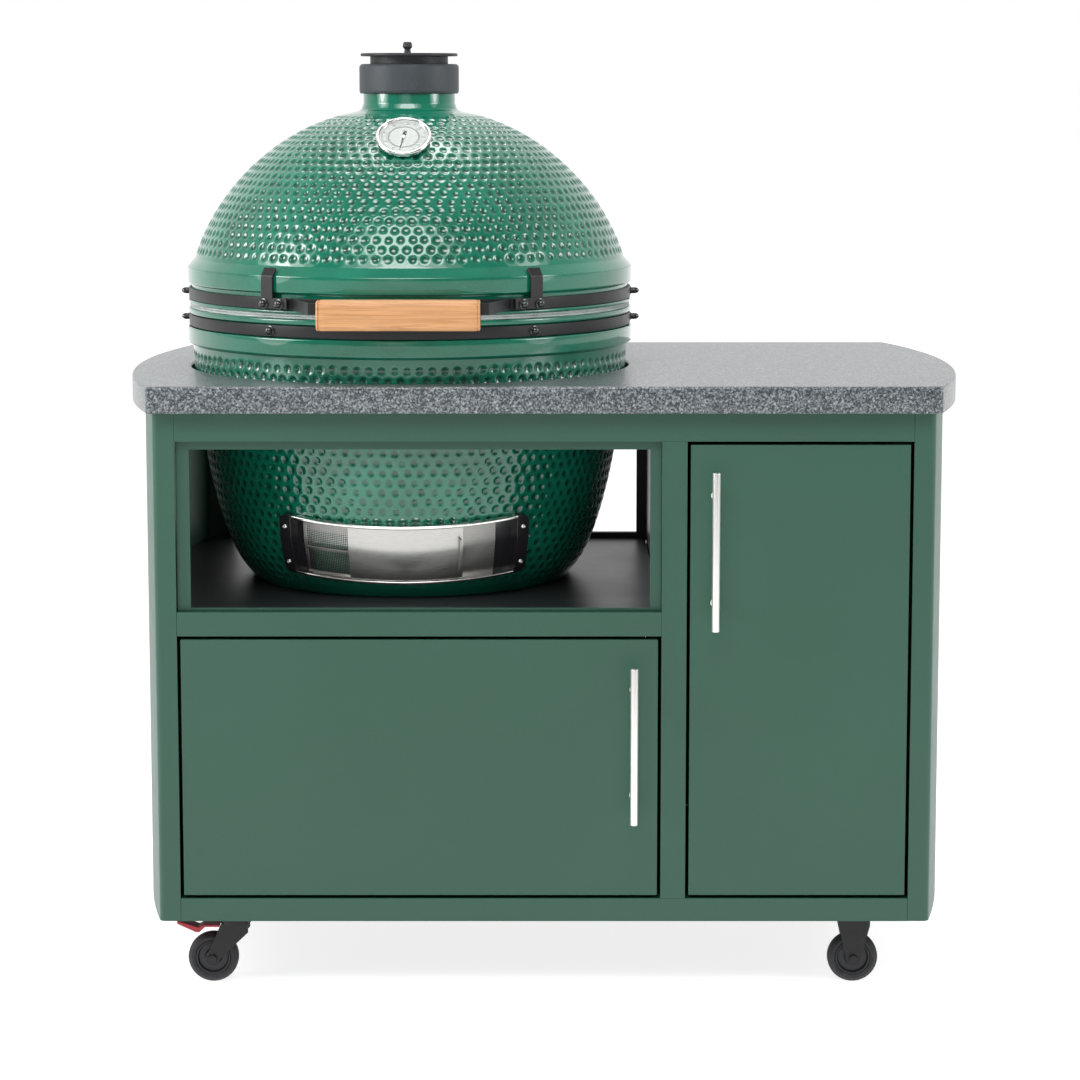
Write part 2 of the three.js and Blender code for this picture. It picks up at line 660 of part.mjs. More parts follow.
function lowerHingeBracket() {
  const low = LOWER_BAND_BOTTOM + 1;
  const high = LOWER_BAND_BOTTOM + BAND_HEIGHT - 1;
  const start = armStart(HINGE_ARM_SPREAD);
  const arm = new THREE.Shape();
  arm.moveTo(start, low);
  arm.lineTo(HINGE_Y + HINGE_KNUCKLE, low);
  arm.lineTo(HINGE_Y + HINGE_KNUCKLE, HINGE_Z);
  arm.absarc(HINGE_Y, HINGE_Z, HINGE_KNUCKLE, 0, Math.PI);
  arm.lineTo(HINGE_Y - HINGE_KNUCKLE, high);
  arm.lineTo(start, high);
  const arms = hingeArms(arm, HINGE_ARM_SPREAD);
  return join([hingeSaddle(LOWER_BAND_BOTTOM, 20), arms]).subtract(pinHole());
}

function upperHingeBracket() {
  const low = UPPER_BAND_BOTTOM + 1;
  const high = UPPER_BAND_BOTTOM + BAND_HEIGHT - 1;
  const start = armStart(INNER_ARM);
  const arm = new THREE.Shape();
  arm.moveTo(start, high);
  arm.lineTo(start, low);
  arm.lineTo(HINGE_Y - HINGE_KNUCKLE, low);
  arm.absarc(HINGE_Y, HINGE_Z, HINGE_KNUCKLE, Math.PI, 2 * Math.PI);
  arm.lineTo(HINGE_Y + HINGE_KNUCKLE, low);
  arm.lineTo(HINGE_Y, high);
  const arms = hingeArms(arm, INNER_ARM);
  return join([hingeSaddle(UPPER_BAND_BOTTOM, 18), arms]).subtract(pinHole());
}

function hingePin() {
  const armEnd = HINGE_ARM_SPREAD + HINGE_ARM_WIDTH / 2;
  const shaft = disc(HINGE_PIN_RADIUS, -armEnd - 2, armEnd + 2);
  const heads = [-1, 1].map((side) => {
    const inner = side * (armEnd + TOUCH_GAP);
    const outer = side * (armEnd + 6);
    return disc(HINGE_PIN_RADIUS + 3, Math.min(inner, outer), Math.max(inner, outer));
  });
  return join([shaft, ...heads]).rotate([0, 90, 0]).translate([0, HINGE_Y, HINGE_Z]);
}

// A close-wound coil round the pin, with a round bead for each turn.
function hingeSpring(side) {
  const bore = HINGE_PIN_RADIUS + RUNNING_GAP;
  const start = INNER_ARM - HINGE_ARM_WIDTH / 2 - 1 - SPRING_COILS * SPRING_PITCH;
  const outline = [[bore, start]];
  for (let coil = 0; coil < SPRING_COILS; coil += 1) {
    const z = start + coil * SPRING_PITCH;
    outline.push([bore + 2.5, z], [bore + 5, z + 0.3 * SPRING_PITCH], [bore + 5, z + 0.7 * SPRING_PITCH]);
  }
  const end = start + SPRING_COILS * SPRING_PITCH;
  outline.push([bore + 2.5, end], [bore, end]);
  const coil = revolve(outline, 12).rotate([0, 90, 0]);
  const placed = side > 0 ? coil : coil.rotate([0, 180, 0]);
  return placed.translate([0, HINGE_Y, HINGE_Z]);
}

// ---------------------------------------------------------------- dome

function domeRadius(height) {
  return radiusAt(domeCurve, height);
}

const THERMOMETER_Z = NECK_BOTTOM - THERMOMETER_DROP;
const THERMOMETER_Y = -domeRadius(THERMOMETER_Z);
const skinSlope = domeRadius(THERMOMETER_Z - 0.5) - domeRadius(THERMOMETER_Z + 0.5);
const THERMOMETER_TILT = 90 - THREE.MathUtils.radToDeg(Math.atan(skinSlope)) + THERMOMETER_LEAN;
const THERMOMETER_BACK = 6;
const THERMOMETER_FRONT = 14.5;
const THERMOMETER_BOSS = 9;
const THERMOMETER_SEAT = 3;

function thermometerBore() {
  const stemHole = disc(5, -THERMOMETER_STEM - 10, 0);
  const seat = disc(THERMOMETER_BOSS + 1, -THERMOMETER_SEAT - TOUCH_GAP, 40);
  return join([stemHole, seat])
    .rotate([THERMOMETER_TILT, 0, 0])
    .translate([0, THERMOMETER_Y, THERMOMETER_Z]);
}

function ceramicDome() {
  const outside = curvePoints(domeCurve, 10);
  const innerCurve = new THREE.CubicBezierCurve(
    new THREE.Vector2(domeCurve.v0.x - DOME_WALL, domeCurve.v0.y),
    new THREE.Vector2(domeCurve.v1.x - DOME_WALL, domeCurve.v1.y - 4),
    new THREE.Vector2(domeCurve.v2.x - 6, domeCurve.v2.y - DOME_WALL),
    new THREE.Vector2(FLUE_RADIUS, NECK_BOTTOM - DOME_WALL),
  );
  const inside = curvePoints(innerCurve, 5).reverse();
  const innerRim = RIM_RADIUS - RIM_WALL;
  const shell = revolve([
    [RIM_RADIUS - LIP_INSET, DOME_BOTTOM],
    [RIM_RADIUS - LIP_INSET, DOME_SEAT_BOTTOM],
    [SEAT_RADIUS, DOME_SEAT_BOTTOM],
    [SEAT_RADIUS, DOME_FACE_BOTTOM],
    [RIM_RADIUS - 1.5, DOME_FACE_BOTTOM],
    [RIM_RADIUS, DOME_FACE_BOTTOM + 2],
    [RIM_RADIUS, DOME_FACE_TOP],
    ...outside,
    [NECK_RADIUS + 2, NECK_BOTTOM + 0.5 * NECK_FILLET],
    [NECK_RADIUS, NECK_BOTTOM + NECK_FILLET],
    [NECK_RADIUS, NECK_TOP],
    [FLUE_RADIUS, NECK_TOP],
    ...inside,
    [innerRim, DOME_FACE_BOTTOM],
    [innerRim, DOME_BOTTOM],
  ]);
  return shell.subtract(thermometerBore());
}

const CLIP_RADIUS = BAND_OUTER + 2 * TOUCH_GAP + BRACKET_SHEET;

function rimClip(side) {
  const middle = CLIP_RADIUS + CLIP_SHEET / 2;
  const footTop = UPPER_BAND_BOTTOM + BAND_HEIGHT;
  const hook = strip(
    [
      [middle, UPPER_BAND_BOTTOM + 2],
      [middle, DOME_FACE_TOP],
      [RIM_RADIUS - 0.6 * SHOULDER_INSET + 3, DOME_FACE_TOP + 0.6 * SHOULDER_HEIGHT + 3],
    ],
    CLIP_SHEET,
  );
  const ends = [side * CLIP_FOOT_INWARD, -side * CLIP_FOOT_OUTWARD].sort((a, b) => a - b);
  const foot = box(
    ends,
    [CLIP_RADIUS, CLIP_RADIUS + CLIP_SHEET],
    [UPPER_BAND_BOTTOM + 1, footTop],
  );
  return extrudeX(hook, -CLIP_WIDTH / 2, CLIP_WIDTH / 2).add(foot);
}

// Bent flat bar from the band to the grip's end, as seen from above on the right-hand side.
function handleBracket(side) {
  const radius = BAND_OUTER + TOUCH_GAP + BRACKET_SHEET / 2;
  const onBand = [CLIP_ANGLE + 4, CLIP_ANGLE, CLIP_ANGLE - 4, CLIP_ANGLE - 7].map((degrees) => {
    const angle = THREE.MathUtils.degToRad(degrees);
    return [radius * Math.sin(angle), -radius * Math.cos(angle)];
  });
  const line = [
    ...onBand,
    [GRIP_LENGTH / 2 + BRACKET_BEND, GRIP_Y],
    [GRIP_LENGTH / 2 - BRACKET_TENON, GRIP_Y],
  ];
  const bottom = UPPER_BAND_BOTTOM + (BAND_HEIGHT - BRACKET_HEIGHT) / 2;
  const sideways = line.map(([x, y]) => [side * x, y]);
  return extrudeZ(strip(sideways, BRACKET_SHEET), bottom, bottom + BRACKET_HEIGHT);
}

function grip() {
  const bar = extrudeX(roundedRectangle(GRIP_DEPTH, GRIP_HEIGHT, 9), -GRIP_LENGTH / 2, GRIP_LENGTH / 2, 4)
    .translate([0, GRIP_Y, GRIP_Z]);
  const middle = UPPER_BAND_BOTTOM + BAND_HEIGHT / 2;
  const half = BRACKET_SHEET / 2 + TOUCH_GAP;
  const mortises = [-1, 1].map((side) => {
    const deep = side * (GRIP_LENGTH / 2 - BRACKET_TENON - 1);
    const out = side * GRIP_LENGTH;
    return box(
      [Math.min(deep, out), Math.max(deep, out)],
      [GRIP_Y - half, GRIP_Y + half],
      [middle - BRACKET_HEIGHT / 2 - TOUCH_GAP, middle + BRACKET_HEIGHT / 2 + TOUCH_GAP],
    );
  });
  return bar.subtract(join(mortises));
}

// The thermometer's own frame has Z out of its face and the origin on the dome's skin.
const BEZEL_WIDTH = 5;
const DIAL_DEPTH = 5;
const LENS_THICKNESS = 1.2;

function thermometerCase() {
  const dial = THERMOMETER_RADIUS - BEZEL_WIDTH;
  return revolve(
    [
      [0, -THERMOMETER_STEM],
      [3.5, -THERMOMETER_STEM],
      [3.5, -THERMOMETER_SEAT],
      [THERMOMETER_BOSS, -THERMOMETER_SEAT],
      [THERMOMETER_BOSS, THERMOMETER_BACK],
      [THERMOMETER_RADIUS - 2, THERMOMETER_BACK],
      [THERMOMETER_RADIUS, THERMOMETER_BACK + 3],
      [THERMOMETER_RADIUS, THERMOMETER_FRONT - 1],
      [THERMOMETER_RADIUS - 1, THERMOMETER_FRONT],
      [dial, THERMOMETER_FRONT],
      [dial, THERMOMETER_FRONT - DIAL_DEPTH],
      [0, THERMOMETER_FRONT - DIAL_DEPTH],
    ],
    32,
  );
}

function thermometerLens() {
  const top = THERMOMETER_FRONT - 0.6;
  return disc(THERMOMETER_RADIUS - BEZEL_WIDTH - TOUCH_GAP, top - LENS_THICKNESS, top, 32);
}

function thermometerNeedle() {
  const bottom = THERMOMETER_FRONT - DIAL_DEPTH + TOUCH_GAP + 0.5;
  const reach = THERMOMETER_RADIUS - BEZEL_WIDTH - 5;
  const hand = polygon([[-0.5, -reach], [0.5, -reach], [1.8, 0], [1.3, 12], [-1.3, 12], [-1.8, 0]]);
  const blade = turned(extrudeZ(hand, bottom + 0.2, bottom + 1), -10);
  return blade.add(disc(2.6, bottom, bottom + 1.6, 16));
}

// ---------------------------------------------------------------- vent cap

const COLLAR_BOTTOM = NECK_TOP - COLLAR_OVERLAP;
const COLLAR_TOP = COLLAR_BOTTOM + COLLAR_HEIGHT;
const SWING_BOTTOM = COLLAR_TOP + TOUCH_GAP;
const SWING_TOP = SWING_BOTTOM + SWING_RING_HEIGHT;
const DISC_BOTTOM = SWING_TOP + TOUCH_GAP;
const EAR_HEIGHT = 5;

function ventCollar() {
  return revolve([
    [NECK_RADIUS + TOUCH_GAP, COLLAR_BOTTOM],
    [COLLAR_RADIUS, COLLAR_BOTTOM],
    [COLLAR_RADIUS, COLLAR_TOP - 2],
    [COLLAR_RADIUS - 2, COLLAR_TOP],
    [FLUE_RADIUS, COLLAR_TOP],
    [FLUE_RADIUS, NECK_TOP + TOUCH_GAP],
    [NECK_RADIUS + TOUCH_GAP, NECK_TOP + TOUCH_GAP],
  ]);
}

function ventHoles(phase, z0, z1) {
  const holes = [];
  for (let i = 0; i < VENT_HOLES; i += 1) {
    const hole = disc(VENT_HOLE_RADIUS, z0, z1, 16).translate([0, VENT_HOLE_CIRCLE, 0]);
    holes.push(turned(hole, phase + (i * 360) / VENT_HOLES));
  }
  return join(holes);
}

function ventSwingRing() {
  const wall = ring(SWING_RING_RADIUS - 6, SWING_RING_RADIUS, SWING_BOTTOM, SWING_TOP);
  const plate = disc(SWING_RING_RADIUS - 3, SWING_TOP - SWING_PLATE, SWING_TOP, ROUND);
  const earTop = SWING_BOTTOM + EAR_HEIGHT;
  const ear = box([-9, 9], [SWING_RING_RADIUS - 4, VENT_PIVOT_RADIUS], [SWING_BOTTOM, earTop]);
  const earEnd = disc(9, SWING_BOTTOM, earTop).translate([0, VENT_PIVOT_RADIUS, 0]);
  const bore = disc(3 + RUNNING_GAP, SWING_BOTTOM - 1, SWING_TOP - SWING_PLATE - 1, 16)
    .translate([0, VENT_PIVOT_RADIUS, 0]);
  const holes = ventHoles(0, SWING_BOTTOM - 1, SWING_TOP + 1);
  return join([wall, plate, ear, earEnd]).subtract(bore).subtract(holes);
}

function ventPivotScrew() {
  const bottom = COLLAR_TOP + TOUCH_GAP;
  const earTop = SWING_BOTTOM + EAR_HEIGHT + TOUCH_GAP;
  const shaft = disc(3, bottom, earTop + 1, 16);
  const head = disc(5.5, earTop, earTop + 3.5, 16);
  return shaft.add(head).translate([0, VENT_PIVOT_RADIUS, 0]);
}

function ventDisc() {
  const top = DISC_BOTTOM + VENT_DISC_THICKNESS;
  const plate = disc(VENT_DISC_RADIUS, DISC_BOTTOM, top, ROUND);
  const knob = revolve(
    [
      [0, top - 1],
      [VENT_KNOB_RADIUS - 2, top - 1],
      [VENT_KNOB_RADIUS - 3, top + 6],
      [VENT_KNOB_RADIUS, top + 9],
      [VENT_KNOB_RADIUS - 1, top + VENT_KNOB_HEIGHT - 1],
      [VENT_KNOB_RADIUS - 3, top + VENT_KNOB_HEIGHT],
      [0, top + VENT_KNOB_HEIGHT],
    ],
    16,
  ).translate([0, -VENT_DISC_RADIUS + VENT_KNOB_RADIUS + 14, 0]);
  return plate.subtract(ventHoles(180 / VENT_HOLES, DISC_BOTTOM - 1, top + 1)).add(knob);
}

// ---------------------------------------------------------------- cabinet

function worktop() {
  const outline = islandOutline(
    CABINET_HALF_WIDTH + WORKTOP_SIDE_OVERHANG,
    CABINET_HALF_DEPTH + WORKTOP_OVERHANG,
    WORKTOP_BULGE,
    WORKTOP_CORNER,
  );
  const slab = extrudeZ(outline, WORKTOP_TOP - WORKTOP_THICKNESS, WORKTOP_TOP, 14);
  const holeRadius = baseRadius(WORKTOP_TOP - KAMADO_Z) + WORKTOP_HOLE_GAP;
  const hole = disc(holeRadius, WORKTOP_TOP - 2 * WORKTOP_THICKNESS, WORKTOP_TOP + 1, ROUND);
  return slab.subtract(hole.translate([KAMADO_X, 0, 0]));
}

function cabinetPlan(inset) {
  return islandOutline(
    CABINET_HALF_WIDTH - inset,
    CABINET_HALF_DEPTH - inset,
    CABINET_BULGE,
    Math.max(CABINET_CORNER - inset, 1),
  );
}

function sidePanel(side) {
  const outer = extrudeZ(cabinetPlan(0), CASTOR_HEIGHT, PANEL_TOP);
  const inner = extrudeZ(cabinetPlan(SHEET), CASTOR_HEIGHT - 1, PANEL_TOP + 1);
  const reach = 2 * CABINET_HALF_WIDTH;
  const edge = CABINET_HALF_WIDTH - POST_WIDTH;
  const span = side < 0 ? [-reach, -edge] : [edge, reach];
  const keep = box(span, [-reach, reach], [CASTOR_HEIGHT, PANEL_TOP]);
  return outer.subtract(inner).intersect(keep);
}

// A rail of folded sheet in the front face, with the flanges it needs to stand stiff.
function rail([x0, x1], [z0, z1], flanges) {
  const pieces = [box([x0, x1], [FRONT, FRONT + SHEET], [z0, z1])];
  if (flanges.includes("top")) {
    pieces.push(box([x0, x1], [FRONT, FRONT + FLANGE_DEPTH], [z1 - SHEET, z1]));
  }
  if (flanges.includes("bottom")) {
    pieces.push(box([x0, x1], [FRONT, FRONT + FLANGE_DEPTH], [z0, z0 + SHEET]));
  }
  return join(pieces);
}

function middlePost() {
  const heights = [BOTTOM_RAIL_TOP + TOUCH_GAP, TOP_RAIL_BOTTOM - TOUCH_GAP];
  const face = box([BAY_RIGHT, CUPBOARD_LEFT], [FRONT, FRONT + SHEET], heights);
  const flanges = [BAY_RIGHT, CUPBOARD_LEFT - SHEET].map((x) =>
    box([x, x + SHEET], [FRONT, FRONT + FLANGE_DEPTH], heights),
  );
  return join([face, ...flanges]);
}

function bayTrim() {
  const [x0, x1] = [BAY_LEFT + TOUCH_GAP, BAY_RIGHT - TOUCH_GAP];
  const [z0, z1] = [SILL_TOP + TOUCH_GAP, TOP_RAIL_BOTTOM - TOUCH_GAP];
  const depth = [FRONT + TRIM_RECESS, FRONT + TRIM_RECESS + 3];
  const opening = box(
    [x0 + TRIM_WIDTH + 3, x1 - TRIM_WIDTH],
    [FRONT, 0],
    [SHELF_TOP + 1, z1 - TRIM_TOP_WIDTH],
  );
  return box([x0, x1], depth, [z0, z1]).subtract(opening);
}

function floorPanel() {
  const inset = SHEET + TOUCH_GAP;
  return extrudeZ(cabinetPlan(inset), CASTOR_HEIGHT, FLOOR_TOP);
}

const TRIM_BACK = FRONT + TRIM_RECESS + 3 + TOUCH_GAP;
const REAR_FRAME_FRONT = REAR_INSIDE - REAR_POST_DEPTH;
const DIVIDER_LEFT = BAY_RIGHT + SHEET + TOUCH_GAP;

function grillShelf() {
  const plan = extrudeZ(cabinetPlan(SHEET + 2 * TOUCH_GAP), SHELF_TOP - SHELF_THICKNESS, SHELF_TOP);
  const keep = box(
    [-2 * CABINET_HALF_WIDTH, BAY_RIGHT - TOUCH_GAP],
    [TRIM_BACK, REAR_FRAME_FRONT - TOUCH_GAP],
    [0, 2 * SHELF_TOP],
  );
  const postCorner = box(
    [-2 * CABINET_HALF_WIDTH, BAY_LEFT + 1],
    [2 * FRONT, FRONT + 8],
    [0, 2 * SHELF_TOP],
  );
  return plan.intersect(keep).subtract(postCorner);
}

function dividerPanel() {
  const depth = [FRONT + FLANGE_DEPTH + TOUCH_GAP, REAR_INSIDE];
  return box([DIVIDER_LEFT, DIVIDER_LEFT + SHEET], depth, [FLOOR_TOP + TOUCH_GAP, PANEL_TOP]);
}

function bayRearFrame() {
  const [x0, x1] = [BAY_LEFT + TOUCH_GAP, DIVIDER_LEFT - TOUCH_GAP];
  const outer = box([x0, x1], [REAR_FRAME_FRONT, REAR_INSIDE], [SILL_TOP, PANEL_TOP]);
  const opening = box(
    [x0 + TRIM_WIDTH, x1 - TRIM_WIDTH],
    [0, 2 * REAR_INSIDE],
    [SHELF_TOP + 10, PANEL_TOP - 35],
  );
  return outer.subtract(opening);
}

function rearPanel([x0, x1], [z0, z1]) {
  return box([x0, x1], [REAR_INSIDE - SHEET, REAR_INSIDE], [z0, z1]);
}

// A door is a folded tray, open at the back; its frame's origin is on its hinge edge.
function doorTray(width, z0, z1) {
  const [x0, x1] = width < 0 ? [width, 0] : [0, width];
  const tray = box([x0, x1], [0, DOOR_THICKNESS], [z0, z1]);
  const hollow = box(
    [x0 + SHEET, x1 - SHEET],
    [SHEET, DOOR_THICKNESS + 1],
    [z0 + SHEET, z1 - SHEET],
  );
  return tray.subtract(hollow);
}

function doorHandle(x, top) {
  const y = -HANDLE_STANDOFF;
  const bar = disc(HANDLE_RADIUS, top - HANDLE_LENGTH, top, 16).translate([x, y, 0]);
  const middle = top - HANDLE_LENGTH / 2;
  const studs = [-1, 1].map((end) => {
    const stud = disc(HANDLE_RADIUS - 1.5, TOUCH_GAP, HANDLE_STANDOFF, 12).rotate([90, 0, 0]);
    return stud.translate([x, 0, middle + (end * HANDLE_CENTRES) / 2]);
  });
  return join([bar, ...studs]);
}

// ---------------------------------------------------------------- castors

const CASTOR_PLATE_TOP = CASTOR_HEIGHT - TOUCH_GAP;
const CASTOR_PLATE_BOTTOM = CASTOR_PLATE_TOP - CASTOR_PLATE_THICKNESS;
const RACE_BOTTOM = CASTOR_PLATE_BOTTOM - RACE_HEIGHT;
const CROWN_TOP = RACE_BOTTOM - TOUCH_GAP;
const CROWN_BOTTOM = CROWN_TOP - CROWN_THICKNESS;
const FORK_INSIDE = WHEEL_WIDTH / 2 + FORK_CLEARANCE;
const FORK_OUTSIDE = FORK_INSIDE + FORK_SHEET;
const AXLE_END = FORK_OUTSIDE + 5;

function castorPlate() {
  const shape = roundedRectangle(CASTOR_PLATE_LENGTH, CASTOR_PLATE_WIDTH, 6);
  return extrudeZ(shape, CASTOR_PLATE_BOTTOM, CASTOR_PLATE_TOP, 3);
}

function swivelPlate() {
  return castorPlate().add(disc(RACE_RADIUS, RACE_BOTTOM, CASTOR_PLATE_BOTTOM + 1));
}

function forkLegs(top, halfTop, trail) {
  const toe = AXLE_RADIUS + 7;
  const leg = new THREE.Shape();
  leg.moveTo(-halfTop, top);
  leg.lineTo(-trail - toe, WHEEL_RADIUS);
  leg.absarc(-trail, WHEEL_RADIUS, toe, Math.PI, 2 * Math.PI);
  leg.lineTo(halfTop, top - 14);
  leg.lineTo(halfTop, top);
  const spans = [[-FORK_OUTSIDE, -FORK_INSIDE], [FORK_INSIDE, FORK_OUTSIDE]];
  return join(spans.map(([y0, y1]) => extrudeY(leg, y0, y1)));
}

function axle(trail) {
  const shaft = disc(AXLE_RADIUS, -AXLE_END + 1, AXLE_END - 1, 16);
  const heads = [[-AXLE_END, -FORK_OUTSIDE + 0.5], [FORK_OUTSIDE - 0.5, AXLE_END]];
  const ends = heads.map(([z0, z1]) => disc(AXLE_RADIUS + 3, z0, z1, 6));
  return join([shaft, ...ends]).rotate([90, 0, 0]).translate([-trail, 0, WHEEL_RADIUS]);
}

function swivelFork() {
  const crown = disc(RACE_RADIUS - 1, CROWN_BOTTOM, CROWN_TOP);
  return join([crown, forkLegs(CROWN_BOTTOM + 1, RACE_RADIUS - 5, CASTOR_TRAIL), axle(CASTOR_TRAIL)]);
}

function rigidFork() {
  const legs = forkLegs(CASTOR_PLATE_BOTTOM + 1, RACE_RADIUS, 0);
  return join([castorPlate(), legs, axle(0)]);
}

function wheel() {
  const bore = AXLE_RADIUS + RUNNING_GAP;
  const hub = WHEEL_WIDTH / 2;
  const half = WHEEL_WIDTH / 2 - 1;
  const web = 5;
  const outline = [
    [bore, -hub],
    [13, -hub],
    [24, -web],
    [26, -half],
    [WHEEL_RADIUS - 5, -half],
    [WHEEL_RADIUS, -half + 6],
  ];
  const mirrored = outline.map(([r, z]) => [r, -z]).reverse();
  return revolve([...outline, ...mirrored], 24).rotate([90, 0, 0]);
}

// The pedal hangs over the wheel, on the side where the fork trails.
function brakePedal() {
  const underside = [[-54, 1], [-26, -12], [-20, -12], [-12, -4], [10, -4]];
  const top = [[10, 0], [-14, 0], [-22, -4], [-54, 6]];
  const plate = polygon([...underside, ...top]);
  const half = WHEEL_WIDTH / 2;
  return extrudeY(plate, -half, half);
}

// ---------------------------------------------------------------- assembly

const island = new THREE.Group();

place(island, "worktop", worktop(), SPECKLED_TOP);
place(island, "side_panel_left", sidePanel(-1), POWDER_COAT);
place(island, "side_panel_right", sidePanel(1), POWDER_COAT);
const railEnds = [BAY_LEFT + TOUCH_GAP, CUPBOARD_RIGHT - TOUCH_GAP];
place(island, "top_rail", rail(railEnds, [TOP_RAIL_BOTTOM, PANEL_TOP], ["bottom"]), POWDER_COAT);
place(island, "bottom_rail", rail(railEnds, [CASTOR_HEIGHT, BOTTOM_RAIL_TOP], ["top"]), POWDER_COAT);
const sillEnds = [BAY_LEFT + TOUCH_GAP, BAY_RIGHT - TOUCH_GAP];
place(island, "sill_rail", rail(sillEnds, [SILL_BOTTOM, SILL_TOP], ["top", "bottom"]), POWDER_COAT);
place(island, "middle_post", middlePost(), POWDER_COAT);
place(island, "bay_trim", bayTrim(), POWDER_COAT);
place(island, "floor_panel", floorPanel(), BLACK_STEEL);
place(island, "grill_shelf", grillShelf(), BLACK_STEEL);
place(island, "divider_panel", dividerPanel(), BLACK_STEEL);
place(island, "bay_rear_frame", bayRearFrame(), BLACK_STEEL);
const lowerBack = rearPanel(
  [BAY_LEFT + TOUCH_GAP, DIVIDER_LEFT - TOUCH_GAP],
  [FLOOR_TOP + TOUCH_GAP, SILL_TOP - TOUCH_GAP],
);
place(island, "rear_panel_left", lowerBack, POWDER_COAT);
const cupboardBack = rearPanel(
  [DIVIDER_LEFT + SHEET + TOUCH_GAP, CUPBOARD_RIGHT - TOUCH_GAP],
  [FLOOR_TOP + TOUCH_GAP, PANEL_TOP],
);
place(island, "rear_panel_right", cupboardBack, POWDER_COAT);

// Doors
const doorBottom = BOTTOM_RAIL_TOP + DOOR_GAP;
const leftDoor = groupAt(island, BAY_LEFT + DOOR_GAP, FRONT, 0);
const leftDoorWidth = BAY_RIGHT - BAY_LEFT - 2 * DOOR_GAP;
const leftDoorTop = SILL_BOTTOM - DOOR_GAP;
place(leftDoor, "left_door", doorTray(leftDoorWidth, doorBottom, leftDoorTop), POWDER_COAT);
const leftHandle = doorHandle(leftDoorWidth - HANDLE_FROM_EDGE, leftDoorTop - HANDLE_FROM_TOP);
place(leftDoor, "left_door_handle", leftHandle, STAINLESS);

const rightDoor = groupAt(island, CUPBOARD_RIGHT - DOOR_GAP, FRONT, 0);
const rightDoorWidth = CUPBOARD_RIGHT - CUPBOARD_LEFT - 2 * DOOR_GAP;
const rightDoorTop = TOP_RAIL_BOTTOM - DOOR_GAP;
place(rightDoor, "right_door", doorTray(-rightDoorWidth, doorBottom, rightDoorTop), POWDER_COAT);
const rightHandle = doorHandle(HANDLE_FROM_EDGE - rightDoorWidth, rightDoorTop - HANDLE_FROM_TOP);
place(rightDoor, "right_door_handle", rightHandle, STAINLESS);

// Kamado
const kamado = groupAt(island, KAMADO_X, 0, KAMADO_Z);
place(kamado, "ceramic_base", ceramicBase(), GLAZE);
place(kamado, "firebox", firebox(), FIRECLAY);
place(kamado, "fire_grate", fireGrate(), CAST_IRON);
place(kamado, "fire_ring", fireRing(), FIRECLAY);
place(kamado, "cooking_grid", cookingGrid(), STAINLESS);
place(kamado, "lower_band", band(LOWER_BAND_BOTTOM), BLACK_STEEL);
place(kamado, "lower_gasket", gasket(LOWER_GASKET_BOTTOM), FELT);
const draft = groupAt(kamado, 0, draftSetback, 0);
draft.rotation.x = draftTilt;
place(draft, "draft_door_frame", draftFrame(), STAINLESS);
place(draft, "draft_screen", draftScreen(), STAINLESS);
place(draft, "draft_panel", draftPanel(), STAINLESS);
place(kamado, "hinge_lower_bracket", lowerHingeBracket(), BLACK_STEEL);
place(kamado, "hinge_pin", hingePin(), STAINLESS);
place(kamado, "hinge_spring_left", hingeSpring(-1), STAINLESS);
place(kamado, "hinge_spring_right", hingeSpring(1), STAINLESS);

const dome = groupAt(kamado, 0, 0, 0);
place(dome, "ceramic_dome", ceramicDome(), GLAZE);
place(dome, "upper_band", band(UPPER_BAND_BOTTOM), BLACK_STEEL);
place(dome, "upper_gasket", gasket(UPPER_GASKET_BOTTOM), FELT);
place(dome, "hinge_upper_bracket", upperHingeBracket(), BLACK_STEEL);
for (const [name, side] of [["left", -1], ["right", 1]]) {
  place(dome, `handle_bracket_${name}`, handleBracket(side), BLACK_STEEL);
  const clip = place(dome, `rim_clip_${name}`, rimClip(side), BLACK_STEEL);
  clip.rotation.z = Math.PI + THREE.MathUtils.degToRad(side * CLIP_ANGLE);
}
place(dome, "handle_grip", grip(), WOOD);
const thermometer = groupAt(dome, 0, THERMOMETER_Y, THERMOMETER_Z);
thermometer.rotation.x = THREE.MathUtils.degToRad(THERMOMETER_TILT);
place(thermometer, "thermometer_case", thermometerCase(), WHITE_DIAL);
place(thermometer, "thermometer_needle", thermometerNeedle(), BLACK_STEEL);
place(thermometer, "thermometer_lens", thermometerLens(), LENS);
place(dome, "vent_collar", ventCollar(), CAST_IRON);
place(dome, "vent_pivot_screw", ventPivotScrew(), STAINLESS);
place(dome, "vent_swing_ring", ventSwingRing(), CAST_IRON);
place(dome, "vent_disc", ventDisc(), CAST_IRON);

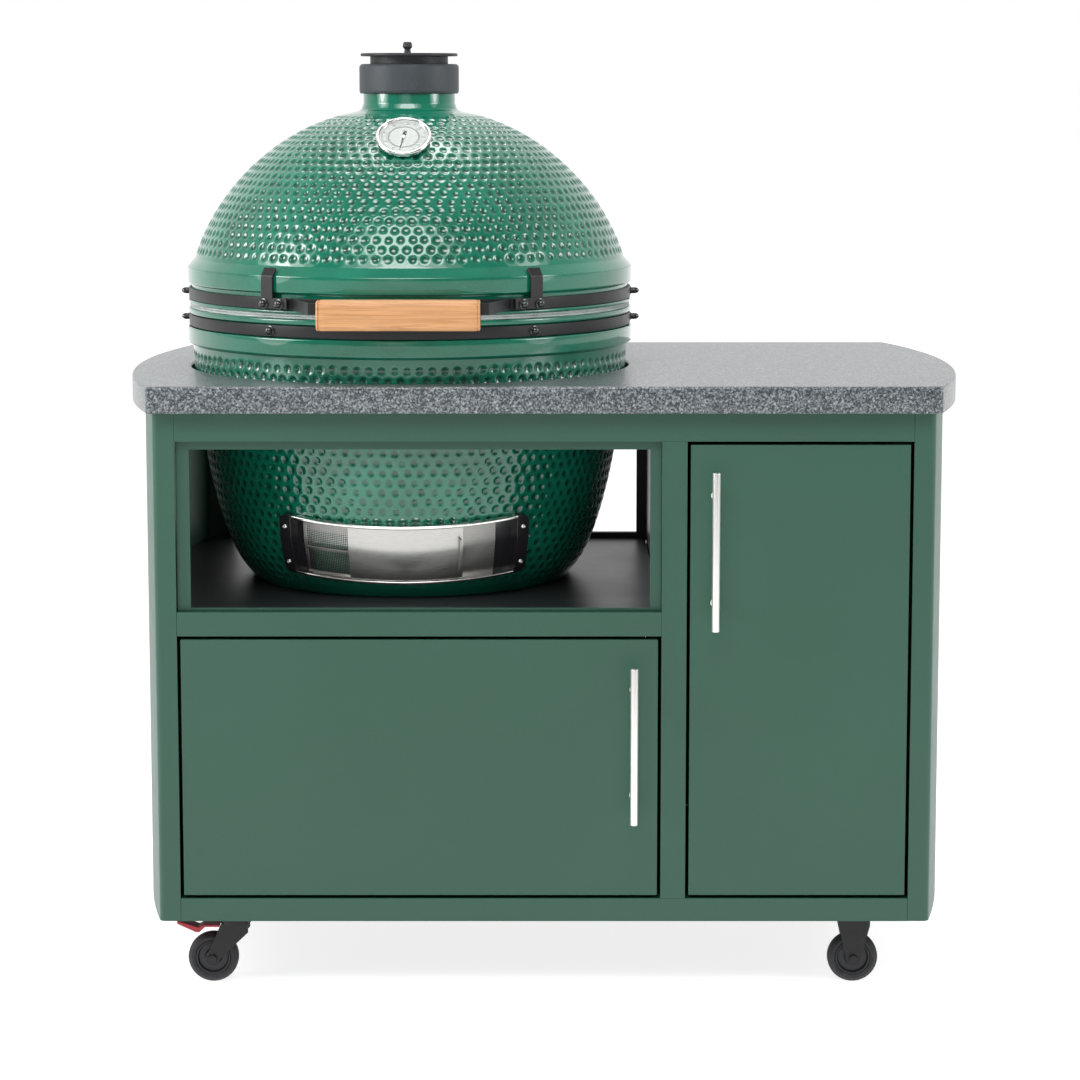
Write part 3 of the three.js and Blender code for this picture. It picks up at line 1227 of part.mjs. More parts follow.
// Castors: a locking swivel pair on the left, a rigid pair on the right.
for (const [end, depthSide] of [["front", -1], ["rear", 1]]) {
  const y = depthSide * (CABINET_HALF_DEPTH - CASTOR_DEPTH_INSET);
  const swivel = groupAt(island, CASTOR_INSET - CABINET_HALF_WIDTH, y, 0);
  place(swivel, `castor_${end}_left_plate`, swivelPlate(), BLACK_STEEL);
  place(swivel, `castor_${end}_left_fork`, swivelFork(), BLACK_STEEL);
  const leftWheel = place(swivel, `castor_${end}_left_wheel`, wheel(), RUBBER);
  leftWheel.position.set(-CASTOR_TRAIL, 0, WHEEL_RADIUS);
  const pedal = place(swivel, `castor_${end}_left_brake`, brakePedal(), RED_PEDAL);
  pedal.position.set(-CASTOR_TRAIL, 0, CROWN_BOTTOM - 2);
  const rigid = groupAt(island, CABINET_HALF_WIDTH - CASTOR_INSET, y, 0);
  place(rigid, `castor_${end}_right_fork`, rigidFork(), BLACK_STEEL);
  const rightWheel = place(rigid, `castor_${end}_right_wheel`, wheel(), RUBBER);
  rightWheel.position.set(0, 0, WHEEL_RADIUS);
}

export default island;
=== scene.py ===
"""Looks of a kamado charcoal grill built into a steel cabinet island on castors.

Metres, +Z up, X to the right, Y towards the back. Angles round the kamado start at the front
and grow to the right. Every size comes from the frame or from a named value below.
"""
import json
import math

import bmesh
import bpy
import numpy as np
from mathutils import Matrix, Vector
from mathutils.geometry import tessellate_polygon


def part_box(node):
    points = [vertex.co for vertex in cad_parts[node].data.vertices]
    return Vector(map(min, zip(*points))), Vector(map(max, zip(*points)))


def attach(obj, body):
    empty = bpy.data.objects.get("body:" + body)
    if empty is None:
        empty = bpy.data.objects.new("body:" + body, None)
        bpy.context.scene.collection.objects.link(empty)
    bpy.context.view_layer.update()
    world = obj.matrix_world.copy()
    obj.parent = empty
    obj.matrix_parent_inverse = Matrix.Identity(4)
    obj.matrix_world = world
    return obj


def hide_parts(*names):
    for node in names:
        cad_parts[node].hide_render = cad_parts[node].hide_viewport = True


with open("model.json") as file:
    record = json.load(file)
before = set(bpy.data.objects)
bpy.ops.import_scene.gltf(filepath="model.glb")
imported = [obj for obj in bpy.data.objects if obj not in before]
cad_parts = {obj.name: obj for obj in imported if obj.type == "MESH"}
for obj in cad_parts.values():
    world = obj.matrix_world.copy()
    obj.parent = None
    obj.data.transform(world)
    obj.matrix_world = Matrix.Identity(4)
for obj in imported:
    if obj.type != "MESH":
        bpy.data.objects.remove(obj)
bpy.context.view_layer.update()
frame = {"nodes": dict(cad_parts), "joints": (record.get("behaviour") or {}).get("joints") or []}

MM = 0.001
SEED = 11

# ---------------------------------------------------------------- places read from the frame

BASE_LOW, BASE_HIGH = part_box("ceramic_base")
DOME_LOW, DOME_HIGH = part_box("ceramic_dome")
AXIS = Vector(((BASE_LOW.x + BASE_HIGH.x) / 2, 0, 0))
RIM_RADIUS = (BASE_HIGH.x - BASE_LOW.x) / 2
FOOT = BASE_LOW.z

# Heights of the kamado's outline, from its foot up.
RIM_UNDERSIDE = FOOT + 371 * MM
BASE_FACE_TOP = FOOT + 398 * MM
BASE_SEAT_TOP = FOOT + 418.5 * MM
DOME_SEAT_LOW = FOOT + 440 * MM
DOME_FACE_LOW = FOOT + 465 * MM
DOME_FACE_TOP = FOOT + 490 * MM
SHOULDER = FOOT + 504 * MM
NECK_FOOT = FOOT + 731 * MM

# Radii and walls of the kamado.
SEAT_RADIUS = RIM_RADIUS - 6.5 * MM
LIP_RADIUS = RIM_RADIUS - 1 * MM
MOUTH_RADIUS = RIM_RADIUS - 37 * MM
NECK_RADIUS = 72 * MM
FLUE_RADIUS = 52 * MM
BASE_WALL = 26 * MM
GASKET_WIDTH = 29 * MM
BAND_THICKNESS = 4 * MM
CLIP_ANGLE = 34.4


def joint(name):
    """A joint's point and direction."""
    found = next(j for j in frame["joints"] if j["name"] == name)
    return Vector(found["pos_m"]), Vector(found["axis"]).normalized()


def cad_points(node):
    """A CAD node's corners as an array."""
    mesh = frame["nodes"][node].data
    points = np.zeros(len(mesh.vertices) * 3)
    mesh.vertices.foreach_get("co", points)
    return points.reshape(-1, 3)


def outline(node, low, high):
    """The bulging outside of a turned node between two heights, as rising (radius, height) points."""
    points = cad_points(node)
    radius = np.hypot(points[:, 0] - AXIS.x, points[:, 1])
    height = np.round(points[:, 2], 5)
    keep = (points[:, 1] > 0.3 * radius) & (height > low - 1e-4) & (height < high + 1e-4)
    line = []
    for level in np.unique(height[keep]):
        point = np.array([radius[keep & (height == level)].max(), level])
        while len(line) > 1 and np.cross(line[-1] - line[-2], point - line[-1]) < -1e-12:
            line.pop()
        line.append(point)
    return np.array(line)


# ---------------------------------------------------------------- mesh tools

SHARP = math.radians(32)


def add_mesh(name, points, faces, material, body, replaces=(), slot=None, sharp=SHARP, more=()):
    """A piece made of points and faces that rides on a body."""
    mesh = bpy.data.meshes.new(name)
    mesh.from_pydata([tuple(p) for p in np.asarray(points, float)], [], faces)
    mesh.validate()
    obj = bpy.data.objects.new(name, mesh)
    bpy.context.scene.collection.objects.link(obj)
    for finish in (material, *more):
        mesh.materials.append(finish)
    mesh.shade_smooth()
    mesh.set_sharp_from_angle(angle=sharp)
    return finish_piece(obj, body, replaces)


def finish_piece(obj, body, replaces=()):
    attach(obj, body)
    if replaces:
        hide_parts(*replaces)
    return obj


def recalculate(obj):
    """Turns all faces outwards."""
    mesh = bmesh.new()
    mesh.from_mesh(obj.data)
    bmesh.ops.recalc_face_normals(mesh, faces=mesh.faces)
    mesh.to_mesh(obj.data)
    mesh.free()


def bevel(obj, width, segments=3, angle=math.radians(32)):
    """Rounds the edges that are sharper than an angle."""
    weld = obj.modifiers.new("weld", "WELD")
    weld.merge_threshold = 0.00002
    edge = obj.modifiers.new("bevel", "BEVEL")
    edge.width = width
    edge.segments = segments
    edge.limit_method = "ANGLE"
    edge.angle_limit = angle
    edge.use_clamp_overlap = True
    normals = obj.modifiers.new("normals", "WEIGHTED_NORMAL")
    normals.keep_sharp = True
    return obj


def carry(node, material, width=0.8 * MM, segments=3):
    """Shows a CAD node itself, with its edges rounded."""
    obj = frame["nodes"][node]
    obj.data.materials.clear()
    obj.data.materials.append(material)
    obj.data.shade_smooth()
    bevel(obj, width, segments)
    return obj


def rounded(points, radius, steps=4):
    """An open line of (a, b) points with each inner corner turned into an arc."""
    points = [np.asarray(p, float) for p in points]
    made = [points[0]]
    for before, corner, after in zip(points, points[1:], points[2:]):
        back, ahead = before - corner, after - corner
        room = min(np.linalg.norm(back), np.linalg.norm(ahead)) * 0.49
        back, ahead = back / np.linalg.norm(back), ahead / np.linalg.norm(ahead)
        half = math.acos(max(-1, min(1, float(back @ ahead)))) / 2
        if half > math.radians(88):
            made.append(corner)
            continue
        cut = min(radius / math.tan(half), room)
        start, end = corner + back * cut, corner + ahead * cut
        for i in range(steps + 1):
            t = i / steps
            made.append((1 - t) ** 2 * start + 2 * t * (1 - t) * corner + t**2 * end)
    made.append(points[-1])
    return np.array(made)


def smooth_line(points, spacing):
    """A smooth curve through points, resampled at about equal steps."""
    points = np.asarray(points, float)
    padded = np.vstack([2 * points[0] - points[1], points, 2 * points[-1] - points[-2]])
    fine = []
    for a, b, c, d in zip(padded, padded[1:], padded[2:], padded[3:]):
        t = np.linspace(0, 1, 24, endpoint=False)[:, None]
        fine.append(
            0.5 * (2 * b + (c - a) * t + (2 * a - 5 * b + 4 * c - d) * t**2
                   + (3 * b - 3 * c + d - a) * t**3)
        )
    fine = np.vstack([*fine, points[-1:]])
    run = np.concatenate([[0], np.cumsum(np.linalg.norm(np.diff(fine, axis=0), axis=1))])
    count = max(2, int(round(run[-1] / spacing)) + 1)
    at = np.linspace(0, run[-1], count)
    return np.stack([np.interp(at, run, fine[:, k]) for k in range(2)], axis=1)


def lathe(name, profile, sides, material, body, centre=AXIS, turn=None, closed=True, offset=None,
          field=None, inner_row=None, **more):
    """A profile of (radius, height) turned about an upright axis, or about turn's Z axis.

    offset holds how far each point of the grid stands out along the profile's normal, field a value
    for each point, and inner_row the row from which the second material takes over."""
    profile = np.asarray(profile, float)
    angles = np.linspace(0, 2 * math.pi, sides, endpoint=False)
    radius = np.repeat(profile[:, 0][:, None], sides, axis=1)
    height = np.repeat(profile[:, 1][:, None], sides, axis=1)
    if offset is not None:
        along = np.gradient(profile, axis=0)
        along /= np.linalg.norm(along, axis=1)[:, None] + 1e-12
        radius = radius + offset * along[:, 1][:, None]
        height = height - offset * along[:, 0][:, None]
    grid = np.stack([radius * np.sin(angles), -radius * np.cos(angles), height], axis=2)
    points = grid.reshape(-1, 3)
    rows = len(profile)
    faces, face_rows = [], []
    last = rows if closed else rows - 1
    for i in range(last):
        a, b = i * sides, ((i + 1) % rows) * sides
        if profile[i][0] < 1e-9 and profile[(i + 1) % rows][0] < 1e-9:
            continue
        for k in range(sides):
            n = (k + 1) % sides
            faces.append((a + k, a + n, b + n, b + k))
        face_rows += [i] * sides
    if turn is not None:
        points = points @ np.array(turn.to_3x3()).T + np.array(turn.translation)
    else:
        points = points + np.array(centre)
    obj = add_mesh(name, points, faces, material, body, **more)
    if inner_row is not None:
        inner = (np.array(face_rows) >= inner_row).astype(np.int32)
        obj.data.polygons.foreach_set("material_index", inner)
    if field is not None:
        obj.data.attributes.new("pit", "FLOAT", "POINT").data.foreach_set("value", field.ravel())
    clean = bmesh.new()
    clean.from_mesh(obj.data)
    bmesh.ops.remove_doubles(clean, verts=clean.verts, dist=1e-7)
    bmesh.ops.recalc_face_normals(clean, faces=clean.faces)
    clean.to_mesh(obj.data)
    clean.free()
    return obj


def polar(radius, angle, z=0.0):
    """A point round the kamado, at an angle in degrees from the front."""
    a = math.radians(angle)
    return Vector((AXIS.x + radius * math.sin(a), -radius * math.cos(a), z))


def corner_inset(level, low, high, corner):
    """How far a rounded corner draws an end in at a level."""
    away = min(level - low, high - level)
    if corner <= 0 or away >= corner:
        return 0.0
    return corner - math.sqrt(max(0.0, corner**2 - (corner - away) ** 2))


def shell(name, offset, thickness, levels, angles, material, body, round_edge=0.5 * MM, corners=(0, 0), **more):
    """A closed curved sheet of the draft door, between two levels and two angles about its own axis.

    corners gives the radius of the corners at the first and at the last angle."""
    low, high = levels
    first, last = angles
    across = max(3, int(abs(last - first) / 1.0) + 1)
    rows = list(np.linspace(low, high, max(2, int((high - low) / (6 * MM)) + 1)))
    for corner in set(corners) - {0}:
        steps = corner * (1 - np.cos(np.linspace(0, math.pi / 2, 7)))
        rows += [low + step for step in steps] + [high - step for step in steps]
    rows = np.unique(np.round(rows, 6))
    up = len(rows)
    points = []
    for depth in (offset, offset + thickness):
        for level in rows:
            reach = draft_radius(level) + depth
            start = first + math.degrees(corner_inset(level, low, high, corners[0]) / reach)
            end = last - math.degrees(corner_inset(level, low, high, corners[1]) / reach)
            for angle in np.linspace(start, end, across):
                points.append(draft_polar(level, depth, angle))
    layer = up * across
    faces = []
    for j in range(up - 1):
        for i in range(across - 1):
            a = j * across + i
            faces.append((a, a + across, a + across + 1, a + 1))
            faces.append((layer + a, layer + a + 1, layer + a + across + 1, layer + a + across))
    ring = [i for i in range(across)]
    ring += [j * across + across - 1 for j in range(1, up)]
    ring += [(up - 1) * across + i for i in range(across - 2, -1, -1)]
    ring += [j * across for j in range(up - 2, 0, -1)]
    for a, b in zip(ring, ring[1:] + ring[:1]):
        faces.append((a, b, layer + b, layer + a))
    obj = add_mesh(name, points, faces, material, body, **more)
    recalculate(obj)
    if round_edge:
        bevel(obj, round_edge, 2)
    return obj


# ---------------------------------------------------------------- finishes


class Finish:
    """A material's nodes, with short ways to add what the finishes share."""

    def __init__(self, name, **sockets):
        self.material = bpy.data.materials.new(name)
        self.material.use_nodes = True
        self.nodes = self.material.node_tree.nodes
        self.links = self.material.node_tree.links
        self.shader = self.nodes["Principled BSDF"]
        for socket, value in sockets.items():
            self.shader.inputs[socket.replace("_", " ")].default_value = value
        self.place = self.nodes.new("ShaderNodeTexCoord").outputs["Object"]

    def link(self, source, socket):
        self.links.new(source, socket)

    def stretched(self, scale):
        node = self.nodes.new("ShaderNodeMapping")
        node.inputs["Scale"].default_value = scale
        self.link(self.place, node.inputs["Vector"])
        return node.outputs["Vector"]

    def noise(self, scale, detail=4, rough=0.55, vector=None, distortion=0.0):
        node = self.nodes.new("ShaderNodeTexNoise")
        node.inputs["Scale"].default_value = scale
        node.inputs["Detail"].default_value = detail
        node.inputs["Roughness"].default_value = rough
        node.inputs["Distortion"].default_value = distortion
        self.link(vector or self.place, node.inputs["Vector"])
        return node.outputs["Fac"]

    def cells(self, scale, vector=None, feature="F1", output="Distance"):
        node = self.nodes.new("ShaderNodeTexVoronoi")
        node.feature = feature
        node.inputs["Scale"].default_value = scale
        self.link(vector or self.place, node.inputs["Vector"])
        return node.outputs[output]

    def attribute(self, name):
        node = self.nodes.new("ShaderNodeAttribute")
        node.attribute_name = name
        return node.outputs["Fac"]

    def ramp(self, source, stops):
        node = self.nodes.new("ShaderNodeValToRGB")
        elements = node.color_ramp.elements
        while len(elements) < len(stops):
            elements.new(0.5)
        for element, (at, colour) in zip(elements, stops):
            element.position = at
            element.color = (*colour, 1) if len(colour) == 3 else colour
        self.link(source, node.inputs["Fac"])
        return node.outputs["Color"]

    def scale_to(self, source, low, high):
        node = self.nodes.new("ShaderNodeMapRange")
        node.inputs["To Min"].default_value = low
        node.inputs["To Max"].default_value = high
        self.link(source, node.inputs["Value"])
        return node.outputs["Result"]

    def mix(self, factor, a, b, blend="MIX"):
        node = self.nodes.new("ShaderNodeMix")
        node.data_type = "RGBA"
        node.blend_type = blend
        for socket, value in ((node.inputs[0], factor), (node.inputs[6], a), (node.inputs[7], b)):
            if isinstance(value, bpy.types.NodeSocket):
                self.link(value, socket)
            else:
                socket.default_value = value if isinstance(value, float) else (*value, 1)
        return node.outputs[2]

    def bump(self, height, distance, strength=1.0, below=None):
        node = self.nodes.new("ShaderNodeBump")
        node.inputs["Distance"].default_value = distance
        node.inputs["Strength"].default_value = strength
        self.link(height, node.inputs["Height"])
        if below is not None:
            self.link(below, node.inputs["Normal"])
        return node.outputs["Normal"]

    def done(self, colour=None, roughness=None, normal=None, metallic=None):
        for socket, source in (
            ("Base Color", colour),
            ("Roughness", roughness),
            ("Normal", normal),
            ("Metallic", metallic),
        ):
            if source is not None:
                self.link(source, self.shader.inputs[socket])
        return self.material


def make_glaze():
    f = Finish("glaze", IOR=1.52, Coat_Weight=0.6, Coat_Roughness=0.03)
    cloud = f.noise(9, 5, 0.6)
    body = f.ramp(cloud, [(0.3, (0.0028, 0.108, 0.062)), (0.7, (0.0055, 0.165, 0.100))])
    fleck = f.noise(420, 2, 0.5)
    speckled = f.mix(f.ramp(fleck, [(0.62, (0, 0, 0)), (0.75, (1, 1, 1))]), body, (0.012, 0.20, 0.125))
    # The glaze darkens with each pit's depth: partly glaze pooled thicker in the hollows, partly painted shade in
    # them.
    pooled_and_shaded = f.mix(f.scale_to(f.attribute("pit"), 0.0, 0.8), speckled, (0.0006, 0.038, 0.022))
    ripple = f.bump(f.noise(60, 3, 0.5), 0.35 * MM, 0.35)
    return f.done(pooled_and_shaded, f.scale_to(f.noise(24, 4), 0.05, 0.10), ripple)


def make_powder_coat():
    f = Finish("powder_coat", IOR=1.5, Specular_IOR_Level=0.5)
    drift = f.noise(1.7, 3, 0.5)
    body = f.ramp(drift, [(0.3, (0.0175, 0.076, 0.048)), (0.7, (0.0215, 0.087, 0.056))])
    peel = f.noise(520, 3, 0.6)
    grain = f.mix(0.12, body, f.ramp(peel, [(0.35, (0.02, 0.06, 0.04)), (0.7, (0.05, 0.13, 0.09))]))
    normal = f.bump(peel, 0.12 * MM, 0.5)
    return f.done(grain, f.scale_to(f.noise(35, 4), 0.36, 0.47), normal)


def make_black_steel():
    f = Finish("black_steel", IOR=1.4)
    grain = f.noise(900, 3, 0.6)
    body = f.ramp(grain, [(0.35, (0.006, 0.006, 0.007)), (0.75, (0.019, 0.019, 0.021))])
    normal = f.bump(grain, 0.08 * MM, 0.6)
    return f.done(body, f.scale_to(f.noise(40, 4), 0.32, 0.44), normal)


def make_shelf_black():
    f = Finish("shelf_black", IOR=1.4)
    grain = f.noise(700, 3, 0.6)
    dust = f.noise(6, 6, 0.65)
    body = f.ramp(grain, [(0.35, (0.010, 0.011, 0.012)), (0.75, (0.028, 0.029, 0.032))])
    normal = f.bump(grain, 0.06 * MM, 0.5)
    return f.done(body, f.scale_to(dust, 0.30, 0.45), normal)


def make_stainless(name="stainless", brushed=(1.0, 1.0, 60.0), dark=0.62, rough=(0.22, 0.36), light=0.86):
    f = Finish(name, Metallic=1.0, Anisotropic=0.5)
    streak = f.noise(55, 6, 0.7, f.stretched(brushed))
    body = f.ramp(streak, [(0.25, (dark, dark * 0.985, dark * 0.95)), (0.75, (light, light * 0.985, light * 0.95))])
    normal = f.bump(streak, 0.03 * MM, 0.4)
    return f.done(body, f.scale_to(streak, *rough), normal)


def make_cast_iron(name, shades, grit):
    """Sand-cast iron under stove paint, between two shades, with a mix of two shades of grit."""
    f = Finish(name, IOR=1.5, Specular_IOR_Level=0.45)
    sand = f.noise(650, 4, 0.65)
    cloud = f.noise(14, 4)
    body = f.ramp(cloud, [(0.3, shades[0]), (0.75, shades[1])])
    pitted = f.mix(0.35, body, f.ramp(sand, [(0.35, grit[0]), (0.7, grit[1])]))
    return f.done(pitted, f.scale_to(sand, 0.42, 0.62), f.bump(sand, 0.25 * MM, 0.7))


def make_fireclay():
    f = Finish("fireclay", IOR=1.45)
    cloud = f.noise(11, 5, 0.6)
    body = f.ramp(cloud, [(0.3, (0.42, 0.34, 0.25)), (0.7, (0.56, 0.48, 0.38))])
    grog = f.cells(240)
    spotted = f.mix(f.ramp(grog, [(0.1, (1, 1, 1)), (0.2, (0, 0, 0))]), body, (0.25, 0.19, 0.14))
    normal = f.bump(f.noise(300, 5, 0.7), 0.5 * MM, 0.7)
    return f.done(spotted, f.scale_to(cloud, 0.78, 0.95), normal)


def make_felt():
    f = Finish("felt", Sheen_Weight=0.4, Sheen_Roughness=0.5)
    fibre = f.noise(380, 6, 0.75, f.stretched((1.0, 1.0, 2.5)), 1.2)
    body = f.ramp(fibre, [(0.3, (0.20, 0.25, 0.235)), (0.5, (0.36, 0.41, 0.395)), (0.75, (0.55, 0.60, 0.58))])
    return f.done(body, f.scale_to(fibre, 0.85, 1.0), f.bump(fibre, 0.8 * MM, 0.9))


def make_wood():
    f = Finish("wood", IOR=1.45, Coat_Weight=0.12, Coat_Roughness=0.35)
    long_grain = f.noise(28, 6, 0.6, f.stretched((0.09, 1.0, 1.0)), 0.6)
    rings = f.noise(70, 3, 0.5, f.stretched((0.05, 1.0, 2.2)), 1.5)
    shades = [(0.25, (0.43, 0.205, 0.080)), (0.55, (0.60, 0.315, 0.140)), (0.8, (0.72, 0.425, 0.215))]
    body = f.ramp(long_grain, shades)
    line = f.ramp(rings, [(0.44, (0, 0, 0)), (0.52, (0.6, 0.6, 0.6)), (0.58, (0, 0, 0))])
    lined = f.mix(line, body, (0.34, 0.145, 0.055))
    pores = f.noise(900, 2, 0.5, f.stretched((0.05, 1.0, 1.0)))
    pored = f.mix(f.ramp(pores, [(0.66, (0, 0, 0)), (0.74, (0.6, 0.6, 0.6))]), lined, (0.30, 0.14, 0.06))
    normal = f.bump(pores, 0.12 * MM, 0.5, f.bump(long_grain, 0.2 * MM, 0.25))
    return f.done(pored, f.scale_to(long_grain, 0.42, 0.58), normal)


def make_speckled_stone():
    f = Finish("speckled_stone", IOR=1.5, Coat_Weight=0.2, Coat_Roughness=0.15)
    fine = f.noise(420, 2, 0.65)
    grit = f.cells(380, output="Color")
    greys = [(0.40, (0.005, 0.007, 0.010)), (0.5, (0.036, 0.046, 0.054)), (0.63, (0.30, 0.33, 0.34))]
    grits = [(0.2, (0.005, 0.007, 0.009)), (0.55, (0.042, 0.054, 0.062)), (0.88, (0.44, 0.47, 0.48))]
    speckled = f.mix(0.45, f.ramp(fine, greys), f.ramp(grit, grits))
    tint = f.mix(f.scale_to(f.noise(3, 3), 0.0, 0.2), speckled, (0.07, 0.095, 0.10))
    return f.done(tint, f.scale_to(fine, 0.24, 0.38), f.bump(fine, 0.08 * MM, 0.45))


def make_dial():
    f = Finish("dial", IOR=1.45)
    mottle = f.noise(90, 4)
    body = f.ramp(mottle, [(0.3, (0.47, 0.50, 0.48)), (0.7, (0.53, 0.56, 0.54))])
    return f.done(body, f.scale_to(mottle, 0.3, 0.4))


def make_dial_ink(name, low, high):
    f = Finish(name, IOR=1.45)
    mottle = f.noise(500, 3)
    return f.done(f.ramp(mottle, [(0.3, low), (0.7, high)]), f.scale_to(mottle, 0.35, 0.5))


def make_chrome():
    f = Finish("chrome", Metallic=1.0)
    smear = f.noise(70, 5)
    body = f.ramp(smear, [(0.3, (0.80, 0.80, 0.79)), (0.7, (0.90, 0.90, 0.885))])
    return f.done(body, f.scale_to(smear, 0.06, 0.16), f.bump(smear, 0.02 * MM, 0.3))


def make_lens():
    f = Finish("lens", IOR=1.1, Transmission_Weight=1.0)
    smear = f.noise(60, 4)
    body = f.ramp(smear, [(0.3, (0.97, 0.98, 0.98)), (0.7, (1.0, 1.0, 1.0))])
    return f.done(body, f.scale_to(smear, 0.0, 0.02))


def make_rubber():
    f = Finish("rubber", IOR=1.45)
    scuff = f.noise(160, 6, 0.7)
    body = f.ramp(scuff, [(0.35, (0.012, 0.012, 0.014)), (0.7, (0.035, 0.035, 0.038))])
    return f.done(body, f.scale_to(scuff, 0.5, 0.75), f.bump(scuff, 0.15 * MM, 0.6))


def make_black_nylon():
    f = Finish("black_nylon", IOR=1.45)
    grain = f.noise(400, 3)
    body = f.ramp(grain, [(0.3, (0.014, 0.015, 0.018)), (0.7, (0.030, 0.031, 0.036))])
    return f.done(body, f.scale_to(grain, 0.32, 0.45), f.bump(grain, 0.06 * MM, 0.5))


def make_gloss_black():
    f = Finish("gloss_black", IOR=1.5, Coat_Weight=0.5, Coat_Roughness=0.05)
    grain = f.noise(260, 4)
    body = f.ramp(grain, [(0.3, (0.008, 0.008, 0.009)), (0.7, (0.017, 0.017, 0.019))])
    return f.done(body, f.scale_to(grain, 0.14, 0.26), f.bump(grain, 0.03 * MM, 0.4))


def make_pedal_red():
    f = Finish("pedal_red", IOR=1.45, Coat_Weight=0.2)
    grain = f.noise(300, 3)
    body = f.ramp(grain, [(0.3, (0.36, 0.012, 0.030)), (0.7, (0.46, 0.020, 0.042))])
    return f.done(body, f.scale_to(grain, 0.3, 0.45), f.bump(grain, 0.06 * MM, 0.5))


GLAZE = make_glaze()
POWDER_COAT = make_powder_coat()
BLACK_STEEL = make_black_steel()
SHELF_BLACK = make_shelf_black()
STAINLESS = make_stainless(dark=0.36, light=0.58)
STAINLESS_ROUND = make_stainless("stainless_round", (60.0, 60.0, 1.0), 0.72, (0.28, 0.4))
STAINLESS_DARK = make_stainless("stainless_dark", (1.0, 1.0, 40.0), 0.26, (0.3, 0.45), 0.42)
STAINLESS_BRIGHT = make_stainless("stainless_bright", (1.0, 1.0, 30.0), 0.78, (0.08, 0.18))
CAST_IRON = make_cast_iron("cast_iron", ((0.024, 0.031, 0.036), (0.040, 0.050, 0.057)),
                           ((0.012, 0.016, 0.020), (0.065, 0.078, 0.088)))
CAP_BLACK = make_cast_iron("cap_black", ((0.009, 0.010, 0.012), (0.016, 0.017, 0.020)),
                           ((0.006, 0.007, 0.008), (0.030, 0.031, 0.034)))
FIRECLAY = make_fireclay()
FELT = make_felt()
WOOD = make_wood()
STONE = make_speckled_stone()
DIAL = make_dial()
DIAL_BLACK = make_dial_ink("dial_black", (0.012, 0.012, 0.012), (0.03, 0.03, 0.03))
DIAL_GREY = make_dial_ink("dial_grey", (0.20, 0.21, 0.21), (0.27, 0.28, 0.28))
CHROME = make_chrome()
LENS = make_lens()
RUBBER = make_rubber()
BLACK_NYLON = make_black_nylon()
GLOSS_BLACK = make_gloss_black()
PEDAL_RED = make_pedal_red()

# ---------------------------------------------------------------- kamado outlines

BASE_LINE = outline("ceramic_base", FOOT, RIM_UNDERSIDE)


def base_radius(z):
    """Outside radius of the base below its rim."""
    return float(np.interp(z, BASE_LINE[:, 1], BASE_LINE[:, 0]))


DRAFT_PIVOT, DRAFT_AXIS = joint("draft_panel_slide")
DRAFT_SIDE = Vector((1, 0, 0))
DRAFT_FRAME = (
    Matrix.Translation(DRAFT_PIVOT)
    @ Matrix((DRAFT_SIDE, DRAFT_AXIS.cross(DRAFT_SIDE), DRAFT_AXIS)).transposed().to_4x4()
)
DRAFT_LINE = np.array([DRAFT_FRAME.inverted() @ Vector((AXIS.x, -r, z)) for r, z in BASE_LINE])


def draft_radius(level):
    """Reach of the base's front from the draft door's axis, at a level along that axis."""
    return float(np.interp(level, DRAFT_LINE[:, 2], -DRAFT_LINE[:, 1]))


def draft_polar(level, stand_off, angle):
    """A point off the base's front, at an angle in degrees about the draft door's axis."""
    reach = draft_radius(level) + stand_off
    a = math.radians(angle)
    return DRAFT_FRAME @ Vector((reach * math.sin(a), -reach * math.cos(a), level))


def draft_span(node):
    """Lowest and highest level, and first and last angle, of a node of the draft door."""
    points = np.array([DRAFT_FRAME.inverted() @ Vector(p) for p in cad_points(node)])
    angles = np.degrees(np.arctan2(points[:, 0], -points[:, 1]))
    return (points[:, 2].min(), points[:, 2].max()), (float(angles.min()), float(angles.max()))


# ---------------------------------------------------------------- hammered glaze

PIT_PITCH = 18.5 * MM
PIT_ROW = 15.5 * MM
PIT_RADIUS = 6.3 * MM
PIT_DEPTH = 2.1 * MM
PIT_JITTER = 0.9 * MM
PIT_ROWS_PER_COUNT = 6
GLAZE_SIDES = 960
GLAZE_STEP = 2.1 * MM


def pits(line, sides, seed, fade):
    """Depth of staggered round pits on a turned surface, row by row of its profile.

    fade gives how deep the pits are at each point of the profile, from 0 to 1."""
    rng = np.random.default_rng(seed)
    run = np.concatenate([[0], np.cumsum(np.linalg.norm(np.diff(line, axis=0), axis=1))])
    angles = np.linspace(0, 2 * math.pi, sides, endpoint=False)
    depth = np.zeros((len(line), sides))
    count = 0
    for row, at in enumerate(np.arange(PIT_ROW * 0.7, run[-1] - PIT_ROW * 0.4, PIT_ROW)):
        if row % PIT_ROWS_PER_COUNT == 0:
            count = int(round(2 * math.pi * np.interp(at, run, line[:, 0]) / PIT_PITCH))
        phase = 0.5 * (row % 2)
        shift_round = rng.uniform(-1, 1, count) * PIT_JITTER
        shift_up = rng.uniform(-1, 1, count) * PIT_JITTER
        size = PIT_RADIUS * rng.uniform(0.86, 1.1, count)
        deep = PIT_DEPTH * rng.uniform(0.7, 1.1, count)
        step = 2 * math.pi / count
        nearest = np.floor(angles / step - phase + 0.5).astype(int)
        for i in np.nonzero(np.abs(run - at) < PIT_RADIUS * 1.1 + PIT_JITTER)[0]:
            for neighbour in (-1, 0, 1):
                cell = (nearest + neighbour) % count
                middle = (nearest + neighbour + phase) * step
                across = (angles - middle) * line[i, 0] - shift_round[cell]
                along = run[i] - at - shift_up[cell]
                inside = np.clip(1 - (across**2 + along**2) / size[cell] ** 2, 0, 1)
                bowl = inside * (2 - inside) * deep[cell] * fade[i]
                depth[i] = np.maximum(depth[i], bowl)
    return depth


